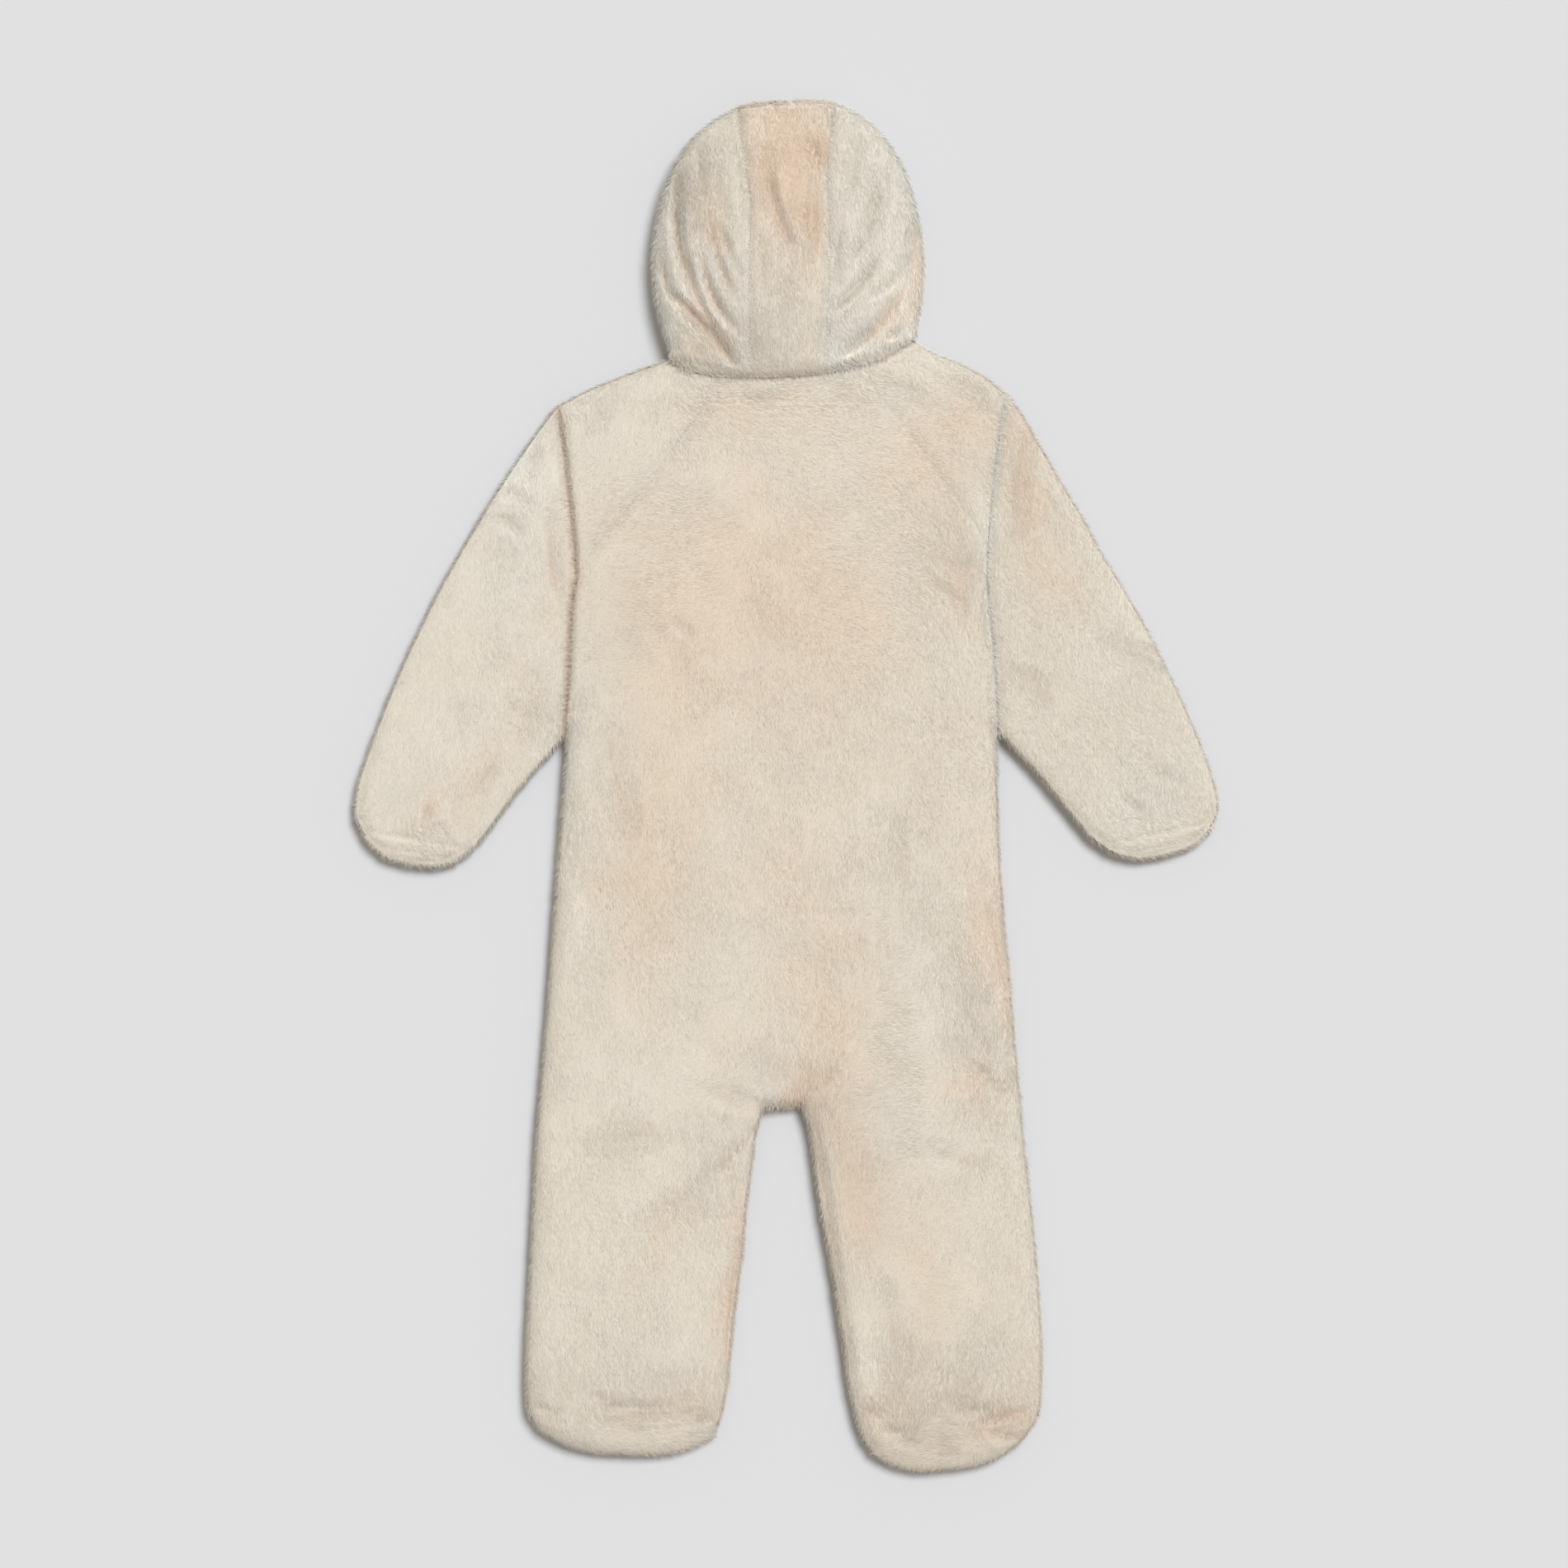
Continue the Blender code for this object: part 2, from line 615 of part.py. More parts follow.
# Sleeves
def sleeve(side):
    inner, outer, bow = (part.copy() for part in SLEEVES[side])
    beside = inner[: FREE_ROW + 1]
    inner[: FREE_ROW + 1] += SEAM_GAP * outwards(beside, 1 if side == "left" else -1)
    inner[0, 1] = neck(inner[0, 0])
    shares = shares_of(118.0, (0, 2.0, 9.0), (0, 1.2, 5.0, 12.0), 3)
    grid = across(inner, outer, bow, shares)
    grid[0, :, 1] = neck(grid[0, :, 0])
    top = np.concatenate(
        [body_top(grid[:FOLD_ROW]), arm_top(grid[FOLD_ROW:], side)]
    )
    top[FOLD_ROW] = TUCK_Z
    top[:, -1] = SEAM_Z
    free = [outer, inner[FREE_ROW:], mitt_end(side)]
    low = under(grid, free)
    low[:, -1] = SEAM_Z
    upper, lower = raised(grid, top), raised(grid, low)
    edge = [np.concatenate([part[FREE_ROW:, 0], part[-1, 1:]]) for part in (upper, lower)]
    drop, rise = np.full((len(edge[0]), 3), 0.0), np.full((len(edge[0]), 3), 0.0)
    drop[:, 2] = SEAM_Z + half - edge[0][:, 2]
    rise[:, 2] = SEAM_Z - half - edge[1][:, 2]
    drop[-1], rise[-1] = 0, 0
    wall(
        "sleeve_" + side,
        [
            upper,
            lower,
            np.stack([edge[0], edge[0] + drop]),
            np.stack([edge[1], edge[1] + rise]),
        ],
        fleece,
    )


sleeve("left")
sleeve("right")

# Hood
hood_seams = [
    columns(HOOD, "seam_left_x", "seam_left_y"),
    columns(HOOD, "seam_right_x", "seam_right_y"),
]
hood_sides = [columns(HOOD, "left_x", "left_y"), columns(HOOD, "right_x", "right_y")]
hood_crest = np.concatenate(
    [
        hood_sides[0][-1:],
        across(hood_seams[0][-1:], hood_seams[1][-1:], [-HOOD_TOP_BOW], fine)[0],
        hood_sides[1][-1:],
    ]
)


def hood_top(points):
    rim = np.min([distance(points, line) for line in (*hood_sides, hood_crest)], axis=0)
    collar = distance(points, neck_line)
    drop = np.maximum(
        (HOOD_CROWN - HOOD_RIM_Z) * (1 - rolled(rim, HOOD_ROLL)),
        (HOOD_CROWN - NECK_Z) * (1 - rolled(collar, NECK_ROLL * 1.6)),
    )
    pressed = grooves(points, hood_seams) + troughs(points, "hood")
    return HOOD_CROWN - drop - pressed * np.clip(np.minimum(rim, collar) / 12, 0, 1)


def hood_panel(name, start, end, shares, face, bow=0.0, open_side=True):
    """A panel of the hood: its upper side, and the return under its outline to the face edge."""
    bows = np.zeros(len(HOOD))
    bows[-1] = bow
    grid = across(start, end, bows, shares)
    grid[0, :, 1] = neck(grid[0, :, 0]) + NECK_GAP
    upper = raised(grid, hood_top(grid))
    upper[-1, :, 2] = HOOD_RIM_Z
    if open_side:
        upper[:, -1, 2] = HOOD_RIM_Z
        rim = np.concatenate([upper[:, -1], upper[-1, -2::-1]])
    else:
        rim = upper[-1]
    steps = np.array(HOOD_RETURN_STEPS)[None, :, None]
    path = rim[:, None, :2] + (face[:, None] - rim[:, None, :2]) * steps
    if open_side:
        path[0, :, 1] = neck(path[0, :, 0]) + NECK_GAP
    reach = np.linalg.norm(path - rim[:, None, :2], axis=2)
    height = HOOD_RIM_Z * (1 - rolled(reach, HOOD_UNDER_ROLL))
    wall(name, [upper, raised(path, height)], fleece)


def face_points(side, count):
    """The face edge under a side panel, one point for each point of its outline."""
    rows = columns(HOOD, f"face_{side}_x", f"face_{side}_y")
    seam = np.array(FACE_SEAM_LEFT if side == "left" else FACE_SEAM_RIGHT)
    step = np.linspace(0, 1, count)[1:, None]
    return np.concatenate([rows, rows[-1] + (seam - rows[-1]) * step])


side_shares = shares_of(60.0, (0, 4.5, 12.0), (0, 2.0, 7.0, 18.0), 2)
apart = np.array([SEAM_GAP + 0.1, 0.0])
hood_panel(
    "hood_side_left",
    hood_seams[0] - apart,
    hood_sides[0],
    side_shares,
    face_points("left", len(side_shares)) - apart,
    bow=0.4,
)
hood_panel(
    "hood_side_right",
    hood_seams[1] + apart,
    hood_sides[1],
    side_shares,
    face_points("right", len(side_shares)) + apart,
    bow=-0.4,
)
centre_shares = shares_of(53.0, (0, 4.5, 12.0), (0, 4.5, 12.0), 2)
hood_panel(
    "hood_centre",
    hood_seams[0],
    hood_seams[1],
    centre_shares,
    np.array(FACE_SEAM_LEFT)
    + (np.array(FACE_SEAM_RIGHT) - np.array(FACE_SEAM_LEFT)) * centre_shares[:, None],
    bow=-HOOD_TOP_BOW,
    open_side=False,
)


# ---------------------------------------------------------------- zip


def block(low, high, name, collection=None):
    """A box between two corners, in millimetres."""
    bm = bmesh.new()
    bmesh.ops.create_cube(bm, size=1.0)
    low, high = np.array(low, float), np.array(high, float)
    for v in bm.verts:
        v.co = ((low + high) / 2 + np.array(v.co) * (high - low)) * MM
    mesh = bpy.data.meshes.new(name)
    bm.to_mesh(mesh)
    bm.free()
    made = bpy.data.objects.new(name, mesh)
    (collection or suit).objects.link(made)
    return made


tape_finish = material("tape", TAPE_COLOUR, 0.8)
metal = material("metal", METAL, 0.35, 1.0)

tape = block(
    (-TAPE_WIDTH / 2, ZIP_END_Y - 6.0, TAPE_Z),
    (TAPE_WIDTH / 2, ZIP_TOP_Y, TAPE_Z + TAPE_THICK),
    "zip_tape",
)
tape.data.materials.append(tape_finish)

# The slider: a plate either side of the tape, joined above the top of the tape by a post, with a
# loop on its outer plate that the pull tab turns on.
PLATE = 3.4
SLIDER_LOW_Y, SLIDER_HIGH_Y = HINGE_Y - 8.0, ZIP_TOP_Y + 3.4
slider = block((-PLATE, SLIDER_LOW_Y, 3.2), (PLATE, SLIDER_HIGH_Y, 4.2), "zip_slider")
slider.data.materials.append(metal)
more = [
    block((-PLATE, SLIDER_LOW_Y, 5.9), (PLATE, SLIDER_HIGH_Y, 6.9), "slider_inner", cutters),
    block((-1.2, ZIP_TOP_Y + 0.5, 3.7), (1.2, SLIDER_HIGH_Y - 0.3, 6.4), "slider_post", cutters),
    block((-0.7, HINGE_Y - 5.6, 0.6), (0.7, HINGE_Y - 4.4, 3.7), "loop_leg_low", cutters),
    block((-0.7, HINGE_Y + 1.4, 0.6), (0.7, HINGE_Y + 2.6, 3.7), "loop_leg_high", cutters),
    block((-0.7, HINGE_Y - 5.0, 0.6), (0.7, HINGE_Y + 2.0, 1.5), "loop_bar", cutters),
]
for part in more:
    part.hide_render = True
    part.display_type = "WIRE"
    join = slider.modifiers.new(part.name, "BOOLEAN")
    join.operation = "UNION"
    join.object = part

# The pull tab: a flat frame with its cross bar through the loop. Its origin is on its hinge.
TAB_LONG, TAB_HALF, TAB_THICK = 22.0, 2.6, 1.0
tab_bar = 1.0
outline = bpy.data.curves.new("zip_pull", "CURVE")
outline.dimensions = "2D"
outline.fill_mode = "BOTH"
outline.extrude = TAB_THICK / 2 * MM


def ring(corners):
    line = outline.splines.new("POLY")
    line.points.add(len(corners) - 1)
    for point, (x, y) in zip(line.points, corners):
        point.co = (x * MM, y * MM, 0, 1)
    line.use_cyclic_u = True


tip = [
    (TAB_HALF * math.cos(a), -TAB_LONG + TAB_HALF + TAB_HALF * math.sin(a))
    for a in np.linspace(math.pi, 2 * math.pi, 9)
]
ring([(-2.2, tab_bar / 2), *tip, (2.2, tab_bar / 2)])
ring([(-1.15, -tab_bar / 2), (-1.15, -6.6), (1.15, -6.6), (1.15, -tab_bar / 2)])
guide = bpy.data.objects.new("zip_pull_outline", outline)
guide.location = (0.0, HINGE_Y * MM, HINGE_Z * MM)
cutters.objects.link(guide)
bpy.context.view_layer.update()
graph = bpy.context.evaluated_depsgraph_get()
tab_mesh = bpy.data.meshes.new_from_object(guide.evaluated_get(graph))
bm = bmesh.new()
bm.from_mesh(tab_mesh)
bmesh.ops.remove_doubles(bm, verts=bm.verts, dist=0.00001)
bmesh.ops.recalc_face_normals(bm, faces=bm.faces)
bm.to_mesh(tab_mesh)
bm.free()
tab_mesh.materials.clear()
tab_mesh.materials.append(metal)
tab = bpy.data.objects.new("zip_pull", tab_mesh)
tab.matrix_world = guide.matrix_world.copy()
bpy.data.objects.remove(guide, do_unlink=True)
suit.objects.link(tab)
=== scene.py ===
"""Looks of a hooded plush fleece pramsuit, laid flat on its front.

Every piece of cloth is a thin shell on the form of its solid, 2 to 4 mm between points, with its creases as soft
troughs, and a pile of flat tapering strands on it. Sizes are in millimetres until a mesh is made.
"""

import math
from collections import namedtuple

import bmesh
import bpy
import numpy as np
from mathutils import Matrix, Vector


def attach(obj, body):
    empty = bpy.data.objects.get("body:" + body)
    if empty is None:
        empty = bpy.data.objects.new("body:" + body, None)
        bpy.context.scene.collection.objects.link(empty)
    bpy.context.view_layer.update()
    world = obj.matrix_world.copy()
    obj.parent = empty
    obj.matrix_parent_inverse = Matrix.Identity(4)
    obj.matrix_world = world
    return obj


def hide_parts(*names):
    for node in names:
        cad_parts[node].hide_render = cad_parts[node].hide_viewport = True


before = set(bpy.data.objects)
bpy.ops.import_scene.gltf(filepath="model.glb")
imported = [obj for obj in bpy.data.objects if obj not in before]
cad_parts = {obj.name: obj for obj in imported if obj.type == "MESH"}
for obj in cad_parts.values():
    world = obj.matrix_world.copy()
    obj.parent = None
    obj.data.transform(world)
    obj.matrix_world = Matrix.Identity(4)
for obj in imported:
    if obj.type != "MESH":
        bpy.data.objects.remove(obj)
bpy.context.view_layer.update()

MM = 0.001
SEAM_LAP = 0.4
HELD_LAP = 1.4
NECK_GAP = 0.15
RIM_GAP = 0.1
SEAM_Z = 9.0
LIP = 2.6
BODY_CROWN = 19.0
BODY_SWELL = 2.5
ARM_CROWN = 16.0
COLLAR_Z = 18.8
HOOD_CROWN = 36.0
HOOD_RIM_Z = 14.0
BODY_ROLL = 14.0
UNDER_ROLL = 8.0
ARM_ROLL = 12.0
NECK_ROLL = 15.0
HOOD_ROLL = 36.0
HOOD_UNDER_ROLL = 13.0
GROOVE_DEPTH = 1.8
GROOVE_WIDTH = 6.0
ZIP_SLOT = 8.0
ZIP_TOP_Y = 257.0
ZIP_END_Y = -150.0

# The fold between shoulder and arm, where the arm comes out from under the body
TUCK_TOP_Z = 16.6
TUCK_LOW_Z = 14.9
TUCK_BODY_ROLL = 5.0
TUCK_ARM_ROLL = 14.0

# The pile stands this far out from the shell, and a shell is this thick
PILE_OVER = 2.2
PILE_UNDER = 1.0
SHELL = 1.6

PALE = (0.703, 0.674, 0.612, 1.0)
CREAM = (0.690, 0.643, 0.562, 1.0)
PEACH = (0.714, 0.594, 0.476, 1.0)
# Painted shade: the warm tint given to strand roots and to the cloth between the strands
ROOT_SHADE_TINT = (1.0, 0.94, 0.85, 1.0)
# Painted shade takes more blue than red out of the colour, so that the painted shadows are warm
PAINTED_SHADE_TINT = (0.75, 1.0, 1.22)
FLOOR_COLOUR = (0.632, 0.634, 0.640, 1.0)
SUN = 2.84
SUN_FROM = (0.38, 0.46, 1.0)
SKY = 0.42
SUN_WIDTH = math.radians(24)
FIBRE_SCALE = 800.0
FIBRE_STRETCH = 0.3
FIBRE_HIGH = 0.0007

# The body, one row for each level across it. The raglan seams are its sides down to the tuck.
Torso = namedtuple("Torso", "y left right")
TORSO = [
    Torso(271.6, -49.5, 54.0),
    Torso(259.0, -53.0, 62.5),
    Torso(246.0, -59.0, 73.0),
    Torso(232.0, -70.0, 84.0),
    Torso(216.0, -81.5, 95.0),
    Torso(200.0, -93.5, 106.0),
    Torso(184.0, -105.5, 117.5),
    Torso(168.0, -120.0, 128.5),
    Torso(154.0, -131.0, 133.0),
    Torso(139.0, -138.8, 133.6),
    Torso(122.0, -141.2, 134.6),
    Torso(102.0, -142.3, 136.6),
    Torso(80.0, -143.4, 138.8),
    Torso(58.0, -145.0, 140.0),
    Torso(36.0, -146.8, 140.8),
    Torso(0.0, -149.5, 141.6),
    Torso(-50.0, -153.2, 143.4),
    Torso(-100.0, -157.0, 147.2),
    Torso(-150.0, -160.6, 151.6),
    Torso(-190.0, -164.0, 155.2),
    Torso(-213.0, -165.9, 157.4),
]
FOLD_ROW = 9  # the raglan seams end here, and the tucks
FREE_ROW = 14  # the sleeves come out from under the body here

# A leg, one row for each level from the crotch to the end of the foot. bow rounds the foot.
Leg = namedtuple("Leg", "outer_x outer_y inner_x inner_y bow")
LEG_LEFT = [
    Leg(-165.9, -213.0, -14.0, -216.0, 0.0),
    Leg(-167.2, -228.0, -18.4, -229.0, 0.0),
    Leg(-168.6, -253.0, -21.8, -253.0, 0.0),
    Leg(-170.0, -282.0, -25.6, -282.0, 0.0),
    Leg(-171.6, -314.0, -28.6, -314.0, 0.0),
    Leg(-173.2, -346.0, -32.8, -346.0, 0.0),
    Leg(-174.4, -378.0, -36.0, -378.0, 0.5),
    Leg(-174.8, -402.0, -39.2, -404.0, 3.0),
    Leg(-172.8, -419.0, -43.0, -422.0, 9.0),
    Leg(-166.0, -430.0, -49.0, -435.0, 14.5),
]
LEG_RIGHT = [
    Leg(157.4, -213.0, 9.0, -213.5, 0.0),
    Leg(158.5, -228.0, 13.6, -228.0, 0.0),
    Leg(161.2, -253.0, 17.3, -253.0, 0.0),
    Leg(164.4, -282.0, 21.6, -282.0, 0.0),
    Leg(167.6, -314.0, 27.2, -314.0, 0.0),
    Leg(170.0, -346.0, 32.6, -346.0, 0.0),
    Leg(171.4, -378.0, 37.6, -380.0, 0.5),
    Leg(171.0, -402.0, 42.2, -408.0, 4.0),
    Leg(168.4, -421.0, 48.0, -430.0, 9.5),
    Leg(160.0, -434.5, 57.0, -446.0, 16.5),
]

# A sleeve, from the neck to the mitt. The first rows start on the body's edge, at the level of the
# TORSO row of the same number. The last rows start on the seam under the arm.
Cap = namedtuple("Cap", "outer_x outer_y bow")
CAP_LEFT = [
    Cap(-77.5, 285.5, -1.5),
    Cap(-86.0, 282.6, 0.0),
    Cap(-95.0, 279.4, 0.0),
    Cap(-104.5, 275.8, 0.0),
    Cap(-114.0, 272.3, 0.0),
    Cap(-123.0, 268.8, 0.0),
    Cap(-131.5, 265.2, 0.0),
    Cap(-138.8, 262.0, 0.0),
    Cap(-144.6, 258.6, 0.0),
    Cap(-151.5, 254.8, 1.8),
    Cap(-164.0, 240.5, 0.0),
    Cap(-177.5, 221.5, 0.0),
    Cap(-191.5, 200.5, 0.0),
    Cap(-205.0, 178.5, 0.0),
    Cap(-218.5, 156.0, 0.0),
]
CAP_RIGHT = [
    Cap(86.5, 297.0, 1.5),
    Cap(93.0, 292.4, 0.0),
    Cap(100.5, 288.4, 0.0),
    Cap(109.0, 285.4, 0.0),
    Cap(117.5, 281.6, 0.0),
    Cap(125.5, 277.6, 0.0),
    Cap(132.5, 273.6, 0.0),
    Cap(138.0, 269.4, 0.0),
    Cap(141.5, 266.6, -1.2),
    Cap(146.0, 262.6, -2.2),
    Cap(158.0, 247.5, 0.0),
    Cap(170.5, 226.5, 0.0),
    Cap(183.5, 204.0, 0.0),
    Cap(197.5, 181.0, 0.0),
    Cap(210.5, 157.0, 0.0),
]
Arm = namedtuple("Arm", "inner_x inner_y outer_x outer_y bow")
ARM_LEFT = [
    Arm(-154.0, 24.5, -233.0, 130.0, 0.0),
    Arm(-162.0, 15.0, -246.0, 104.0, 0.0),
    Arm(-171.0, 5.0, -258.5, 77.0, -0.5),
    Arm(-180.5, -6.5, -270.0, 49.0, -1.0),
    Arm(-189.5, -19.0, -279.8, 22.5, -3.0),
    Arm(-197.5, -30.0, -287.0, -1.0, -7.0),
    Arm(-205.0, -39.0, -288.6, -18.0, -11.0),
    Arm(-213.5, -46.5, -282.5, -34.0, -13.5),
]
ARM_RIGHT = [
    Arm(149.0, 26.0, 225.5, 132.5, 0.0),
    Arm(158.0, 16.5, 240.0, 107.0, 0.0),
    Arm(167.5, 6.0, 252.5, 82.5, 0.5),
    Arm(177.0, -5.5, 265.0, 56.5, 1.0),
    Arm(186.5, -17.0, 276.5, 30.0, 3.0),
    Arm(195.5, -28.0, 285.5, 4.5, 6.5),
    Arm(203.5, -37.0, 288.6, -13.0, 10.0),
    Arm(213.0, -43.8, 284.5, -28.5, 12.0),
]

# The hood, one row for each level across it: its outline, its two seams, and the face edge below.
Hood = namedtuple(
    "Hood",
    "left_x left_y seam_left_x seam_left_y seam_right_x seam_right_y right_x right_y"
    " face_left_x face_left_y face_right_x face_right_y",
)
HOOD = [
    Hood(-77.5, 286.3, -25.3, 272.0, 24.0, 274.7, 86.5, 297.8, -22.0, 272.0, 24.0, 274.7),
    Hood(-80.0, 293.5, -25.2, 278.0, 24.5, 280.5, 87.9, 303.5, -26.0, 282.0, 28.0, 285.0),
    Hood(-84.5, 307.0, -25.1, 292.0, 25.6, 294.0, 89.7, 314.0, -32.0, 299.0, 34.0, 302.0),
    Hood(-88.6, 326.0, -24.9, 314.0, 27.6, 315.0, 91.8, 330.0, -37.0, 321.0, 39.0, 323.0),
    Hood(-90.4, 346.0, -24.8, 337.0, 28.6, 338.0, 92.6, 348.0, -40.0, 342.0, 42.0, 343.0),
    Hood(-89.0, 367.0, -24.4, 361.0, 28.6, 361.0, 91.2, 368.0, -40.0, 361.0, 42.0, 362.0),
    Hood(-84.6, 389.0, -24.2, 385.0, 28.1, 385.0, 86.6, 389.0, -36.0, 376.0, 38.0, 377.0),
    Hood(-77.2, 410.0, -26.8, 408.0, 27.4, 409.0, 80.0, 410.0, -30.0, 387.0, 32.0, 388.0),
    Hood(-66.0, 428.5, -30.2, 430.0, 29.2, 430.0, 68.0, 430.0, -24.0, 394.0, 26.0, 395.0),
    Hood(-55.5, 438.8, -31.4, 442.5, 30.6, 444.0, 57.0, 441.5, -20.0, 397.5, 22.0, 398.0),
    Hood(-47.0, 444.8, -31.8, 449.0, 31.3, 451.4, 47.8, 448.6, -17.0, 399.4, 19.0, 399.8),
    Hood(-39.8, 449.2, -32.0, 453.2, 31.6, 456.2, 40.0, 453.0, -15.5, 400.3, 17.0, 400.5),
]
HOOD_TOP_BOW = 2.7
FACE_SEAM_LEFT = (-12.5, 401.0)
FACE_SEAM_RIGHT = (13.5, 401.0)

